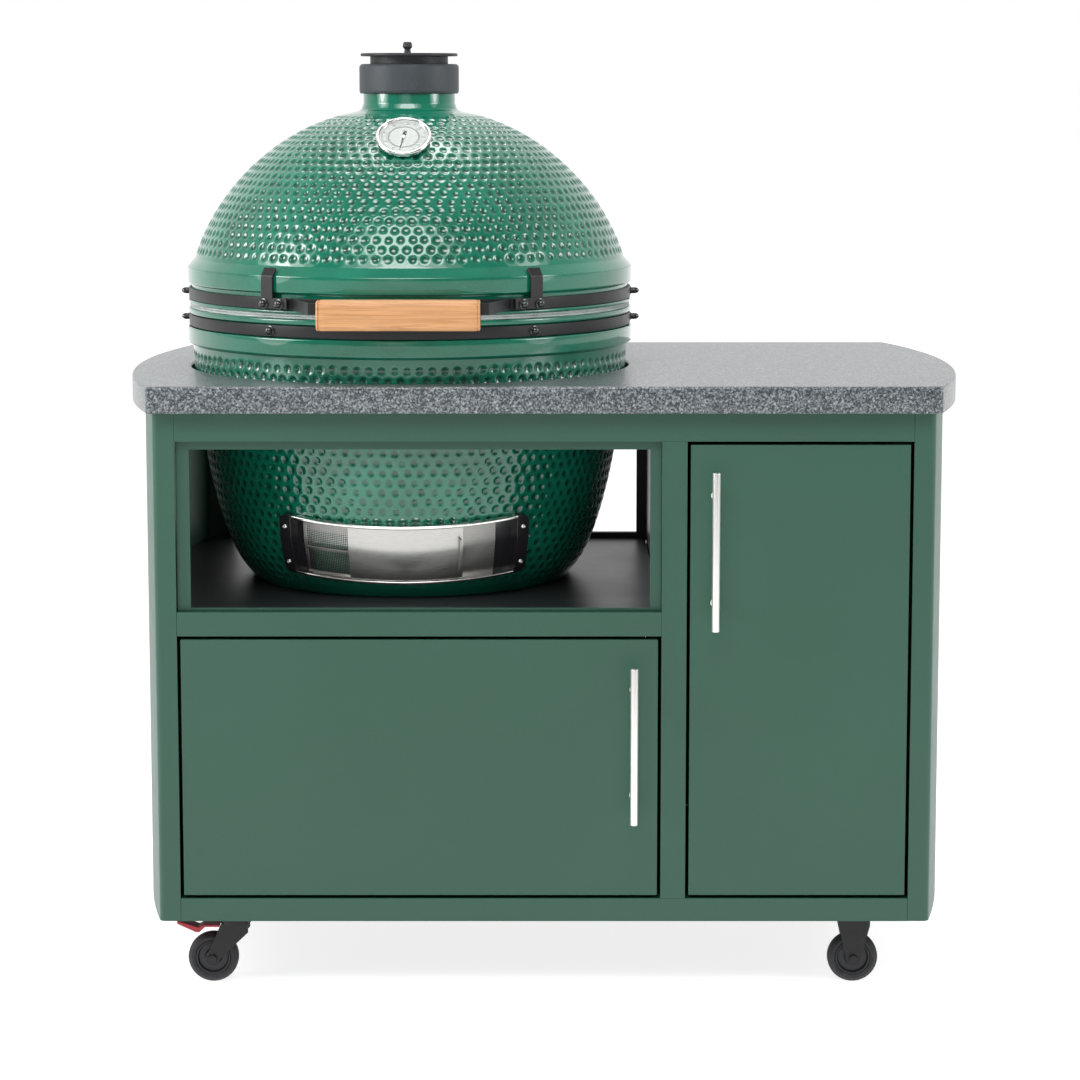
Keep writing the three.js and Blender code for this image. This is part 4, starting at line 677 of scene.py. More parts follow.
def glazed_shell(name, smooth_before, dimpled, after, inside, seed, fade, body, replaces):
    """A ceramic shell: a smooth outside, a dimpled stretch, more smooth outside, then the unglazed inside."""
    outer = np.vstack([smooth_before, dimpled, after])
    profile = np.vstack([outer, inside])
    first = len(smooth_before)
    depth = np.zeros((len(profile), GLAZE_SIDES))
    depth[first:first + len(dimpled)] = pits(dimpled, GLAZE_SIDES, seed, fade)
    return lathe(name, profile, GLAZE_SIDES, GLAZE, body, offset=-depth, field=depth / PIT_DEPTH,
                 inner_row=len(outer) - 1, replaces=replaces, slot="glaze", more=(FIRECLAY,),
                 sharp=math.radians(50))


def ceramic_base():
    top = BASE_HIGH.z
    dimpled = smooth_line(BASE_LINE, GLAZE_STEP)
    foot = rounded([(0.0, FOOT), (BASE_LINE[0][0] - 1e-4, FOOT), dimpled[1]], 5 * MM)[:-1]
    rim = rounded(
        [
            dimpled[-1],
            (RIM_RADIUS, RIM_UNDERSIDE + 1.5 * MM),
            (RIM_RADIUS, BASE_FACE_TOP),
            (SEAT_RADIUS, BASE_FACE_TOP),
            (SEAT_RADIUS, BASE_SEAT_TOP),
            (LIP_RADIUS, BASE_SEAT_TOP),
            (LIP_RADIUS, top),
            (MOUTH_RADIUS, top),
            (MOUTH_RADIUS, top - 20 * MM),
        ],
        2.5 * MM,
    )[1:]
    wall = dimpled[::-6]
    wall = wall[wall[:, 1] > FOOT + BASE_WALL + 12 * MM] - np.array([BASE_WALL, 0])
    floor_edge = (wall[-1][0] - 12 * MM, FOOT + BASE_WALL)
    floor = rounded([wall[-1], floor_edge, (0.0, FOOT + BASE_WALL)], 8 * MM)[1:]
    heights = dimpled[:, 1]
    low_fade = np.clip((heights - FOOT - 12 * MM) / (20 * MM), 0, 1)
    high_fade = np.clip((RIM_UNDERSIDE - 3 * MM - heights) / (6 * MM), 0, 1)
    return glazed_shell("kamado_base", foot, dimpled[1:-1], rim, np.vstack([wall, floor]), SEED,
                        (low_fade * high_fade)[1:-1], "island", ["ceramic_base"])


def ceramic_dome():
    dimpled = smooth_line(outline("ceramic_dome", SHOULDER, NECK_FOOT), GLAZE_STEP)
    bottom, top = DOME_LOW.z, DOME_HIGH.z
    rim = rounded(
        [
            (MOUTH_RADIUS, bottom),
            (LIP_RADIUS, bottom),
            (LIP_RADIUS, DOME_SEAT_LOW),
            (SEAT_RADIUS, DOME_SEAT_LOW),
            (SEAT_RADIUS, DOME_FACE_LOW),
            (RIM_RADIUS, DOME_FACE_LOW),
            (RIM_RADIUS, DOME_FACE_TOP),
            dimpled[0],
            dimpled[4],
        ],
        3.5 * MM,
    )[:-1]
    neck = rounded(
        [
            dimpled[-1],
            (NECK_RADIUS + 3 * MM, NECK_FOOT + 3 * MM),
            (NECK_RADIUS, NECK_FOOT + 12 * MM),
            (NECK_RADIUS, top),
            (FLUE_RADIUS, top),
            (FLUE_RADIUS, NECK_FOOT - 20 * MM),
        ],
        6 * MM,
    )[1:]
    hollow = dimpled[::-6]
    sunk = np.linspace(22 * MM, 0, len(hollow))
    drawn_in = np.linspace(14 * MM, 25 * MM, len(hollow))
    hollow = np.stack([np.maximum(hollow[:, 0] - drawn_in, FLUE_RADIUS), hollow[:, 1] - sunk], axis=1)
    hollow = hollow[hollow[:, 1] < NECK_FOOT - 24 * MM]
    inside = np.vstack([hollow, [(MOUTH_RADIUS, DOME_FACE_LOW)]])
    heights = dimpled[:, 1]
    low_fade = np.clip((heights - SHOULDER) / (10 * MM), 0, 1)
    high_fade = np.clip((NECK_FOOT - 4 * MM - heights) / (8 * MM), 0, 1)
    return glazed_shell("kamado_dome", rim, dimpled[1:-1], neck, inside, SEED + 5,
                        (low_fade * high_fade)[1:-1], "dome", ["ceramic_dome"])


# ---------------------------------------------------------------- kamado metalwork


def felt_ring(node, body):
    """A felt gasket with an uneven outer edge."""
    low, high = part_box(node)
    outer = (high.x - low.x) / 2
    inner = outer - GASKET_WIDTH
    profile = rounded(
        [(inner, (low.z + high.z) / 2), (inner, low.z), (outer, low.z), (outer, high.z), (inner, high.z),
         (inner, (low.z + high.z) / 2)],
        1.4 * MM,
        5,
    )[:-1]
    rng = np.random.default_rng(SEED + len(node))
    sides = 540
    angle = np.linspace(0, 2 * math.pi, sides, endpoint=False)
    ripple = sum(rng.uniform(0.1, 0.35) * MM * np.sin(k * angle + rng.uniform(0, 6)) for k in (11, 23, 41, 67, 97))
    fuzz = rng.normal(0, 0.10 * MM, (len(profile), sides))
    share = (profile[:, 0] > outer - 3 * MM).astype(float)[:, None]
    offset = np.minimum(share * (ripple[None, :] * 0.5 + fuzz), 0.25 * MM) * 0.9
    return lathe(node + "_felt", profile, sides, FELT, body, offset=offset, replaces=[node], slot="felt")


def hoop(node, body):
    """A band of flat steel round the rim, with softened edges."""
    low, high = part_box(node)
    outer = (high.x - low.x) / 2
    inner = outer - BAND_THICKNESS
    middle = (low.z + high.z) / 2
    profile = rounded(
        [(inner, middle), (inner, low.z), (outer, low.z), (outer, high.z), (inner, high.z), (inner, middle)],
        1.1 * MM,
    )[:-1]
    return lathe(node + "_steel", profile, 360, BLACK_STEEL, body, replaces=[node], slot="black_steel")


def aim(direction, point):
    """A matrix that stands a piece's Z axis along a direction at a point."""
    return Matrix.Translation(point) @ Vector(direction).to_track_quat("Z", "Y").to_matrix().to_4x4()


def cap_nut(name, point, direction, radius, body, height):
    """A washer with a domed nut on it."""
    profile = [
        (0.0, 0.0),
        (radius * 1.35, 0.0),
        (radius * 1.35, radius * 0.22),
        (radius * 1.0, radius * 0.3),
        (radius * 1.0, height * 0.5),
        (radius * 0.9, height * 0.72),
        (radius * 0.62, height * 0.91),
        (radius * 0.25, height),
        (0.0, height),
    ]
    return lathe(name, rounded(profile, 0.5 * MM, 3), 28, GLOSS_BLACK, body, turn=aim(direction, point),
                 closed=False, slot="black_steel")


def button_screw(name, point, direction, radius, body, material, slot):
    """A low domed screw head with a round socket."""
    profile = rounded(
        [(0.0, radius * 0.15), (radius * 0.42, radius * 0.15), (radius * 0.46, radius * 0.55),
         (radius * 0.85, radius * 0.38), (radius, 0.0), (0.0, 0.0)],
        radius * 0.12,
        3,
    )
    return lathe(name, profile, 24, material, body, turn=aim(direction, point), closed=True, slot=slot)


NUT_RADIUS = 6 * MM
SIDE_BOLT_RADIUS = 5 * MM
SIDE_BOLT_LENGTH = 14 * MM
CLIP_NUT_HEIGHT = 9 * MM
CLIP_NUT_OUTWARD = 5.5 * MM
CLIP_NUT_INWARD = 23.6 * MM
SIDES = ((-1, "left"), (1, "right"))


def band_bolts():
    """Bolts that stand out of the bands at the sides, and those of the lower band under the clips."""
    for node, body in (("lower_band", "island"), ("upper_band", "dome")):
        low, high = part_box(node)
        radius = (high.x - low.x) / 2
        middle = (low.z + high.z) / 2
        for side, word in SIDES:
            cap_nut(f"{node}_bolt_{word}", polar(radius, 90 * side, middle), Vector((side, 0, 0)),
                    SIDE_BOLT_RADIUS, body, SIDE_BOLT_LENGTH)
            if node == "lower_band":
                out = (polar(1, side * CLIP_ANGLE) - AXIS).normalized()
                cap_nut("lower_band_clip_nut_" + word, polar(radius, side * CLIP_ANGLE, middle), out,
                        NUT_RADIUS, body, CLIP_NUT_HEIGHT)


def clip_nuts():
    """Two nuts on the foot of each clip: one near the tab's middle, one towards the grip."""
    band_low, band_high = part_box("upper_band")
    middle = (band_low.z + band_high.z) / 2
    for side, word in SIDES:
        out = (polar(1, side * CLIP_ANGLE) - AXIS).normalized()
        inward = Vector((out.y, -out.x, 0)) * side
        foot = np.array([Vector(p) - AXIS for p in cad_points("rim_clip_" + word) if p[2] < band_high.z])
        face = float((foot @ np.array(out)).max())
        centre = AXIS + out * face + Vector((0, 0, middle))
        for k, step in enumerate((-CLIP_NUT_OUTWARD, CLIP_NUT_INWARD)):
            cap_nut(f"clip_nut_{word}_{k + 1}", centre + inward * step, out, NUT_RADIUS, "dome", CLIP_NUT_HEIGHT)


def grip():
    """The wooden grip: a rounded bar with softened ends."""
    low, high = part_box("handle_grip")
    centre = (low + high) / 2
    half = (high - low) / 2
    corner = 9 * MM
    steps = 8
    section = []
    for quarter in range(4):
        cx = (half.y - corner) * (1 if quarter in (0, 3) else -1)
        cz = (half.z - corner) * (1 if quarter in (0, 1) else -1)
        for i in range(steps + 1):
            a = math.pi / 2 * (quarter + i / steps)
            section.append((cx + corner * math.cos(a), cz + corner * math.sin(a)))
    section = np.array(section)
    stations = []
    end_round = 3 * MM
    for i in range(5):
        a = math.pi / 2 * i / 4
        stations.append((-half.x + end_round * (1 - math.sin(a)), end_round * (1 - math.cos(a))))
    stations += [(x, 0.0) for x in np.linspace(-half.x + 2 * end_round, half.x - 2 * end_round, 24)]
    stations += [(-x, inset) for x, inset in reversed(stations[:5])]
    points = []
    for x, inset in stations:
        scale = np.array([(half.y - inset) / half.y, (half.z - inset) / half.z])
        for a, b in section * scale:
            points.append((centre.x + x, centre.y + a, centre.z + b))
    count = len(section)
    faces = []
    for i in range(len(stations) - 1):
        a, b = i * count, (i + 1) * count
        faces += [(a + k, a + (k + 1) % count, b + (k + 1) % count, b + k) for k in range(count)]
    faces.append(tuple(reversed(range(count))))
    faces.append(tuple(range((len(stations) - 1) * count, len(stations) * count)))
    obj = add_mesh("grip", points, faces, WOOD, "dome", replaces=["handle_grip"], slot="wood")
    recalculate(obj)
    return obj


# ---------------------------------------------------------------- thermometer

DIAL_POINT, NEEDLE_AXIS = joint("needle_turn")
DIAL_RIGHT = Vector((1, 0, 0))
DIAL_FRAME = (
    Matrix.Translation(DIAL_POINT)
    @ Matrix((DIAL_RIGHT, (-NEEDLE_AXIS).cross(DIAL_RIGHT), -NEEDLE_AXIS)).transposed().to_4x4()
)

# Depths are from the dome's skin outwards.
CASE_RADIUS = 42 * MM
CASE_BACK = 6 * MM
CASE_FRONT = 14.5 * MM
STEM_RADIUS = 3.5 * MM
STEM_LENGTH = 70 * MM
BOSS_RADIUS = 9 * MM
BOSS_SEAT = -2.8 * MM
DIAL_RADIUS = 37 * MM
DIAL_FACE = 9.5 * MM
DIAL_SHEET = 0.3 * MM
INK = 0.06 * MM
GLASS_BACK = 12.7 * MM
GLASS_FRONT = 13.9 * MM
SCALE_START = -150
SCALE_SWEEP = 300
SCALE_MAJOR = 15
SCALE_MINOR = 75
SCALE_INNER = 30
DEGREES_PER_MAJOR = 50
GREY_RING = (21.5 * MM, 24.5 * MM)
NEEDLE_TURN = 10
NEEDLE_HAND = [(-0.4, -31), (0.4, -31), (1.5, 0), (2.6, 3), (2.6, 13), (-2.6, 13), (-2.6, 3), (-1.5, 0)]


def flat_shapes(name, loops, depth, thickness, material, body, slot, replaces=()):
    """Flat shapes on the dial as one piece, each given as a loop of (x, y)."""
    points, faces = [], []
    for loop in loops:
        start, count = len(points), len(loop)
        points += [DIAL_FRAME @ Vector((x, y, depth)) for x, y in loop]
        points += [DIAL_FRAME @ Vector((x, y, depth + thickness)) for x, y in loop]
        faces.append(tuple(start + k for k in reversed(range(count))))
        faces.append(tuple(start + count + k for k in range(count)))
        for k in range(count):
            n = (k + 1) % count
            faces.append((start + k, start + n, start + count + n, start + count + k))
    obj = add_mesh(name, points, faces, material, body, slot=slot, replaces=replaces)
    recalculate(obj)
    return obj


def tick(angle, inner, outer, width):
    """A radial mark, clockwise from the top in degrees."""
    a = math.radians(angle)
    out = np.array([math.sin(a), math.cos(a)])
    side = np.array([out[1], -out[0]]) * width / 2
    corners = (out * inner - side, out * outer - side, out * outer + side, out * inner + side)
    return [tuple(corner) for corner in corners]


def scale_ticks(count, inner, outer, width, skip=0):
    """Marks along the dial's scale, without those that a coarser scale already has."""
    return [
        tick(SCALE_START + SCALE_SWEEP * k / count, inner, outer, width)
        for k in range(count + 1)
        if not skip or k % skip
    ]


def thermometer():
    case = rounded(
        [
            (0.0, -STEM_LENGTH),
            (STEM_RADIUS, -STEM_LENGTH),
            (STEM_RADIUS, BOSS_SEAT),
            (BOSS_RADIUS, BOSS_SEAT),
            (BOSS_RADIUS, CASE_BACK),
            (CASE_RADIUS - 1 * MM, CASE_BACK),
            (CASE_RADIUS, CASE_BACK + 4 * MM),
            (CASE_RADIUS, CASE_FRONT - 2 * MM),
            (CASE_RADIUS - 2 * MM, CASE_FRONT),
            (DIAL_RADIUS + 1 * MM, CASE_FRONT - 0.6 * MM),
            (DIAL_RADIUS, CASE_FRONT - 2 * MM),
            (DIAL_RADIUS, DIAL_FACE),
            (0.0, DIAL_FACE),
        ],
        1.6 * MM,
    )
    lathe("thermometer_housing", case, 96, CHROME, "dome", turn=DIAL_FRAME, closed=False,
          replaces=["thermometer_case"], slot="thermometer")
    edge = DIAL_RADIUS - 0.05 * MM
    low, ink = DIAL_FACE + 0.02 * MM, DIAL_FACE + DIAL_SHEET
    plate = [(0.0, low), (edge, low), (edge, ink), (0.0, ink)]
    lathe("thermometer_dial", plate, 96, DIAL, "dome", turn=DIAL_FRAME, closed=False, slot="thermometer")
    facets = 64
    width = 2 * math.pi * GREY_RING[0] / facets
    arc = [tick(360 * k / facets, *GREY_RING, width) for k in range(facets)]
    flat_shapes("dial_ring", arc, ink, INK, DIAL_GREY, "dome", "thermometer")
    marks = scale_ticks(SCALE_MAJOR, 30 * MM, 34.5 * MM, 0.9 * MM)
    marks += scale_ticks(SCALE_MINOR, 32.3 * MM, 34.5 * MM, 0.45 * MM, SCALE_MINOR // SCALE_MAJOR)
    marks += scale_ticks(SCALE_INNER, 25.5 * MM, 27.5 * MM, 0.5 * MM)
    flat_shapes("dial_marks", marks, ink, INK, DIAL_BLACK, "dome", "thermometer")
    for k in range(0, SCALE_MAJOR + 1, 2):
        angle = math.radians(SCALE_START + SCALE_SWEEP * k / SCALE_MAJOR)
        number(str(DEGREES_PER_MAJOR * (k + 1)), 28.6 * MM, angle, ink)
    needle()
    glass = [(0.0, GLASS_BACK), (edge - 0.25 * MM, GLASS_BACK), (edge - 0.25 * MM, GLASS_FRONT), (0.0, GLASS_FRONT)]
    lathe("thermometer_glass", rounded(glass, 0.2 * MM), 96, LENS, "dome", turn=DIAL_FRAME, closed=False,
          replaces=["thermometer_lens"], slot="lens")


def number(text, radius, angle, depth):
    """A small number on the dial."""
    curve = bpy.data.curves.new("dial_number_" + text, "FONT")
    curve.body = text
    curve.size = 4.4 * MM
    curve.align_x = "CENTER"
    curve.align_y = "CENTER"
    curve.extrude = INK / 2
    curve.resolution_u = 3
    obj = bpy.data.objects.new("dial_number_" + text, curve)
    bpy.context.scene.collection.objects.link(obj)
    spot = Matrix.Translation((radius * math.sin(angle), radius * math.cos(angle), depth + INK / 2))
    obj.matrix_world = DIAL_FRAME @ spot
    curve.materials.append(DIAL_BLACK)
    finish_piece(obj, "dome")


def needle():
    turn = np.radians(NEEDLE_TURN)
    spin = np.array([[math.cos(turn), math.sin(turn)], [-math.sin(turn), math.cos(turn)]])
    loop = [tuple(spin @ (np.array(point) * MM)) for point in NEEDLE_HAND]
    flat_shapes("needle", [loop], DIAL_FACE + 0.9 * MM, 0.7 * MM, DIAL_BLACK, "thermometer_needle",
                "black_steel", ["thermometer_needle"])
    low, high, radius = DIAL_FACE + 0.8 * MM, DIAL_FACE + 2.4 * MM, 2.6 * MM
    hub = [(0.0, low), (radius, low), (radius, high - 0.5 * MM), (radius - 1 * MM, high), (0.0, high)]
    lathe("needle_hub", rounded(hub, 0.3 * MM), 24, CHROME, "thermometer_needle", turn=DIAL_FRAME, closed=False,
          slot="thermometer")


# ---------------------------------------------------------------- vent cap


def vent_cap():
    low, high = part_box("vent_collar")
    radius = (high.x - low.x) / 2
    bore = NECK_RADIUS + 0.3 * MM
    shelf = DOME_HIGH.z + 0.3 * MM
    profile = rounded(
        [
            (bore, shelf),
            (bore, low.z),
            (radius - 1 * MM, low.z),
            (radius, low.z + 5 * MM),
            (radius, high.z - 4 * MM),
            (radius - 3 * MM, high.z),
            (FLUE_RADIUS, high.z),
            (FLUE_RADIUS, shelf),
            (bore, shelf),
        ],
        4 * MM,
    )[:-1]
    lathe("vent_collar_iron", profile, 160, CAST_IRON, "dome", replaces=["vent_collar"], slot="cast_iron")
    for node, width in (("vent_swing_ring", 0.8 * MM), ("vent_disc", 1.1 * MM)):
        carry(node, CAP_BLACK, width)
    carry("vent_pivot_screw", STAINLESS_ROUND, 0.6 * MM)


# ---------------------------------------------------------------- draft door


DRAFT_GAP = 1 * MM
DRAFT_DEPTH = 11 * MM
DRAFT_RAIL = 5 * MM
DRAFT_END_ANGLE = 3.6
DRAFT_FLANK_ANGLE = 9.4
DRAFT_WINDOW_ANGLES = (-27, 2.5)
DRAFT_WINDOW_MARGIN = 10 * MM
SCREEN_STAND_OFF = 4 * MM
SCREEN_EDGE = 5 * MM
SCREEN_SHEET = 1.5 * MM
WIRE = 0.7 * MM
WIRE_PITCH = 2.9 * MM
PANEL_STAND_OFF = 7.5 * MM


def draft_door():
    (low, high), (start, end) = draft_span("draft_door_frame")
    window = (low + DRAFT_WINDOW_MARGIN, high - 2 * DRAFT_WINDOW_MARGIN)
    inner_start, inner_end = start + DRAFT_END_ANGLE - 0.5, end - DRAFT_END_ANGLE + 0.5
    plates = (
        ("right", (low + DRAFT_RAIL, high - DRAFT_RAIL), (DRAFT_WINDOW_ANGLES[1], end - DRAFT_FLANK_ANGLE)),
        ("lower", (low + DRAFT_RAIL, window[0]), DRAFT_WINDOW_ANGLES),
        ("upper", (window[1], high - DRAFT_RAIL), DRAFT_WINDOW_ANGLES),
    )
    for word, levels, angles in plates:
        shell("draft_plate_" + word, DRAFT_GAP, SCREEN_SHEET, levels, angles, STAINLESS_DARK, "island", 0,
              slot="stainless")
    for word, levels in (("lower", (low, low + DRAFT_RAIL)), ("upper", (high - DRAFT_RAIL, high))):
        rail = shell("draft_rail_" + word, DRAFT_GAP, DRAFT_DEPTH, levels, (inner_start, inner_end),
                     STAINLESS_BRIGHT, "island", 1.3 * MM, slot="stainless")
    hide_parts("draft_door_frame")
    flank_levels = (low + DRAFT_RAIL, high - DRAFT_RAIL)
    for word, angles in (
        ("left", (inner_start, start + DRAFT_FLANK_ANGLE)),
        ("right", (end - DRAFT_FLANK_ANGLE, inner_end)),
    ):
        shell("draft_flank_" + word, DRAFT_GAP, SCREEN_SHEET, flank_levels, angles, GLOSS_BLACK, "island", 0,
              slot="black_steel")
    for word, angles, corners in (
        ("left", (start, start + DRAFT_END_ANGLE), (14 * MM, 0)),
        ("right", (end - DRAFT_END_ANGLE, end), (0, 14 * MM)),
    ):
        shell("draft_end_" + word, DRAFT_GAP, DRAFT_DEPTH, (low, high), angles, GLOSS_BLACK, "island", 1.6 * MM,
              corners, slot="black_steel")
        angle = sum(angles) / 2
        for k, share in enumerate((0.2, 0.8)):
            level = low + (high - low) * share
            point = draft_polar(level, DRAFT_GAP + DRAFT_DEPTH - 0.2 * MM, angle)
            out = (point - draft_polar(level, 0, angle)).normalized()
            button_screw(f"draft_screw_{word}_{k + 1}", point, out, 4.2 * MM, "island", CHROME, "stainless")
    draft_screen()
    draft_panel()


def draft_screen():
    (low, high), (start, end) = draft_span("draft_screen")
    middle = (low + high) / 2
    inner = (low + SCREEN_EDGE, high - SCREEN_EDGE)
    strips = (
        ("top", (inner[1], high), (start, end)),
        ("bottom", (low, inner[0]), (start, end)),
        ("middle", (middle - 2.4 * MM, middle + 2.4 * MM), (start, end)),
        ("left", inner, (start, start + 1)),
        ("right", inner, (end - 1, end)),
    )
    for word, levels, angles in strips:
        strip = shell("screen_" + word, SCREEN_STAND_OFF, SCREEN_SHEET, levels, angles, STAINLESS_DARK,
                      "draft_screen", slot="stainless")
    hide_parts("draft_screen")
    pitch = math.degrees(WIRE_PITCH / draft_radius(middle))
    wires = [[(angle, level) for level in np.linspace(*inner, 7)] for angle in np.arange(start + 1, end - 1, pitch)]
    for level in np.arange(inner[0] + WIRE_PITCH / 2, inner[1], WIRE_PITCH):
        wires.append([(angle, level) for angle in np.linspace(start + 1, end - 1, 25)])
    corners = ((-WIRE, -WIRE), (WIRE, -WIRE), (WIRE, WIRE), (-WIRE, WIRE))
    stand_off = SCREEN_STAND_OFF + SCREEN_SHEET / 2
    points, faces = [], []
    for wire in wires:
        base = len(points)
        upright = wire[0][0] == wire[-1][0]
        for angle, level in wire:
            for out, along in corners:
                turn = math.degrees(along / 2 / draft_radius(level)) if upright else 0
                rise = 0 if upright else along / 2
                points.append(draft_polar(level + rise, stand_off + out / 2, angle + turn))
        for i in range(len(wire) - 1):
            a, b = base + 4 * i, base + 4 * (i + 1)
            faces += [(a + k, a + (k + 1) % 4, b + (k + 1) % 4, b + k) for k in range(4)]
        end_corner = base + 4 * (len(wire) - 1)
        faces.append((base + 3, base + 2, base + 1, base))
        faces.append(tuple(end_corner + k for k in range(4)))
    recalculate(add_mesh("screen_wire", points, faces, STAINLESS, "draft_screen", slot="stainless"))


def draft_panel():
    levels, (start, end) = draft_span("draft_panel")
    plate = shell("draft_slide", PANEL_STAND_OFF, SCREEN_SHEET, levels, (start, end), STAINLESS, "draft_panel",
                  slot="stainless")
    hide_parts("draft_panel")
    tab = (levels[0] + 18 * MM, levels[1] - 18 * MM)
    # The tab is a real part of the slide but takes the darker stainless, darker than the slide itself, as painted
    # shade for the dark slit there.
    shell("draft_slide_tab", PANEL_STAND_OFF + 1 * MM, 8.5 * MM, tab, (end - 1.3, end - 0.75), STAINLESS_DARK,
          "draft_panel", 0.5 * MM, slot="stainless")


# ---------------------------------------------------------------- worktop and cabinet


def loop_offset(loop, distance):
    """A closed convex loop moved inwards."""
    loop = np.asarray(loop, float)
    before, after = np.roll(loop, 1, axis=0), np.roll(loop, -1, axis=0)
    tangent = after - before
    tangent /= np.linalg.norm(tangent, axis=1)[:, None]
    inward = np.stack([-tangent[:, 1], tangent[:, 0]], axis=1)
    return loop + inward * distance


def worktop():
    low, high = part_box("worktop")
    points = cad_points("worktop")
    top = points[np.abs(points[:, 2] - high.z) < 1e-4][:, :2]
    top = np.unique(np.round(top, 6), axis=0)
    hole_radius = base_radius(high.z) + 5 * MM
    away = np.hypot(top[:, 0] - AXIS.x, top[:, 1])
    outer = top[away > hole_radius + 4 * MM]
    outer = outer[np.argsort(np.arctan2(outer[:, 1], outer[:, 0]))]
    sides = 160
    turn = np.linspace(0, 2 * math.pi, sides, endpoint=False)
    hole = np.stack([AXIS.x + hole_radius * np.cos(turn), hole_radius * np.sin(turn)], axis=1)
    rings = []
    top_round, bottom_round, steps = 4 * MM, 2 * MM, 5
    for i in range(steps + 1):
        a = math.pi / 2 * i / steps
        rings.append((bottom_round * (1 - math.sin(a)), low.z + bottom_round * (1 - math.cos(a))))
    for i in range(steps + 1):
        a = math.pi / 2 * i / steps
        rings.append((top_round * (1 - math.cos(a)), high.z - top_round * (1 - math.sin(a))))
    vertices, faces = [], []

    def wall(loop, sign):
        first = len(vertices)
        for inset, z in rings:
            vertices.extend((x, y, z) for x, y in loop_offset(loop, sign * inset))
        count = len(loop)
        for i in range(len(rings) - 1):
            a, b = first + i * count, first + (i + 1) * count
            faces.extend((a + k, a + (k + 1) % count, b + (k + 1) % count, b + k) for k in range(count))
        return first, first + (len(rings) - 1) * count, count

    outer_low, outer_high, outer_count = wall(outer, 1)
    hole_low, hole_high, hole_count = wall(hole, -1)
    for outer_start, hole_start in ((outer_low, hole_low), (outer_high, hole_high)):
        loops = [
            [Vector(vertices[outer_start + k]) for k in range(outer_count)],
            [Vector(vertices[hole_start + k]) for k in range(hole_count)],
        ]
        index = [outer_start + k for k in range(outer_count)] + [hole_start + k for k in range(hole_count)]
        for triangle in tessellate_polygon(loops):
            faces.append(tuple(index[k] for k in triangle))
    obj = add_mesh("worktop_stone", vertices, faces, STONE, "island", replaces=["worktop"], slot="speckled_stone",
                   sharp=math.radians(40))
    recalculate(obj)
    return obj


def cabinet():
    painted = ["side_panel_left", "side_panel_right", "top_rail", "bottom_rail", "sill_rail", "middle_post",
               "bay_trim", "rear_panel_left", "rear_panel_right"]
    for node in painted:
        carry(node, POWDER_COAT, 0.7 * MM)
    for node in ("left_door", "right_door"):
        carry(node, POWDER_COAT, 1.4 * MM, 4)
    for node in ("floor_panel", "divider_panel", "bay_rear_frame"):
        carry(node, BLACK_STEEL, 0.6 * MM)
    carry("grill_shelf", SHELF_BLACK, 0.8 * MM)


def door_handles():
    for word in ("left", "right"):
        node = word + "_door_handle"
        low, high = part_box(node)
        centre = Vector(((low.x + high.x) / 2, low.y + 6 * MM, 0))
        radius = (high.x - low.x) / 2
        bar = rounded([(0.0, low.z), (radius, low.z), (radius, high.z), (0.0, high.z)], 1.2 * MM)
        lathe(f"{word}_handle_bar", bar, 40, STAINLESS_ROUND, word + "_door", centre=centre, closed=False,
              replaces=[node], slot="stainless")
        middle = (low.z + high.z) / 2
        for k, step in enumerate((-80 * MM, 80 * MM)):
            start = Vector((centre.x, high.y, middle + step))
            reach = start.y - centre.y
            post = rounded([(0.0, 0.0), (6.2 * MM, 0.0), (6.2 * MM, 1.6 * MM), (4.4 * MM, 2.4 * MM),
                            (4.4 * MM, reach), (0.0, reach)], 0.5 * MM)
            lathe(f"{word}_handle_post_{k + 1}", post, 28, STAINLESS_ROUND, word + "_door",
                  turn=aim((0, -1, 0), start), closed=False, slot="stainless")


# ---------------------------------------------------------------- inside the kamado


def firebox():
    for node in ("firebox", "fire_ring"):
        carry(node, FIRECLAY, 1.5 * MM)
    carry("fire_grate", CAST_IRON, 0.9 * MM)
    carry("cooking_grid", STAINLESS_ROUND, 0.9 * MM)


def hinge():
    for node in ("hinge_lower_bracket", "hinge_upper_bracket", "handle_bracket_left", "handle_bracket_right"):
        carry(node, BLACK_STEEL, 0.8 * MM)
    for node in ("rim_clip_left", "rim_clip_right"):
        carry(node, BLACK_STEEL, 0.9 * MM)
    for node in ("hinge_pin", "hinge_spring_left", "hinge_spring_right"):
        carry(node, STAINLESS_ROUND, 0.5 * MM)


# ---------------------------------------------------------------- castors


def castors():
    for end in ("front", "rear"):
        for side in ("left", "right"):
            prefix = f"castor_{end}_{side}_"
            wheel(prefix, f"{end}_{side}_wheel")
            if side == "left":
                carry(prefix + "plate", BLACK_STEEL, 0.8 * MM)
                carry(prefix + "brake", PEDAL_RED, 1.0 * MM)
            carry(prefix + "fork", BLACK_STEEL, 0.9 * MM)


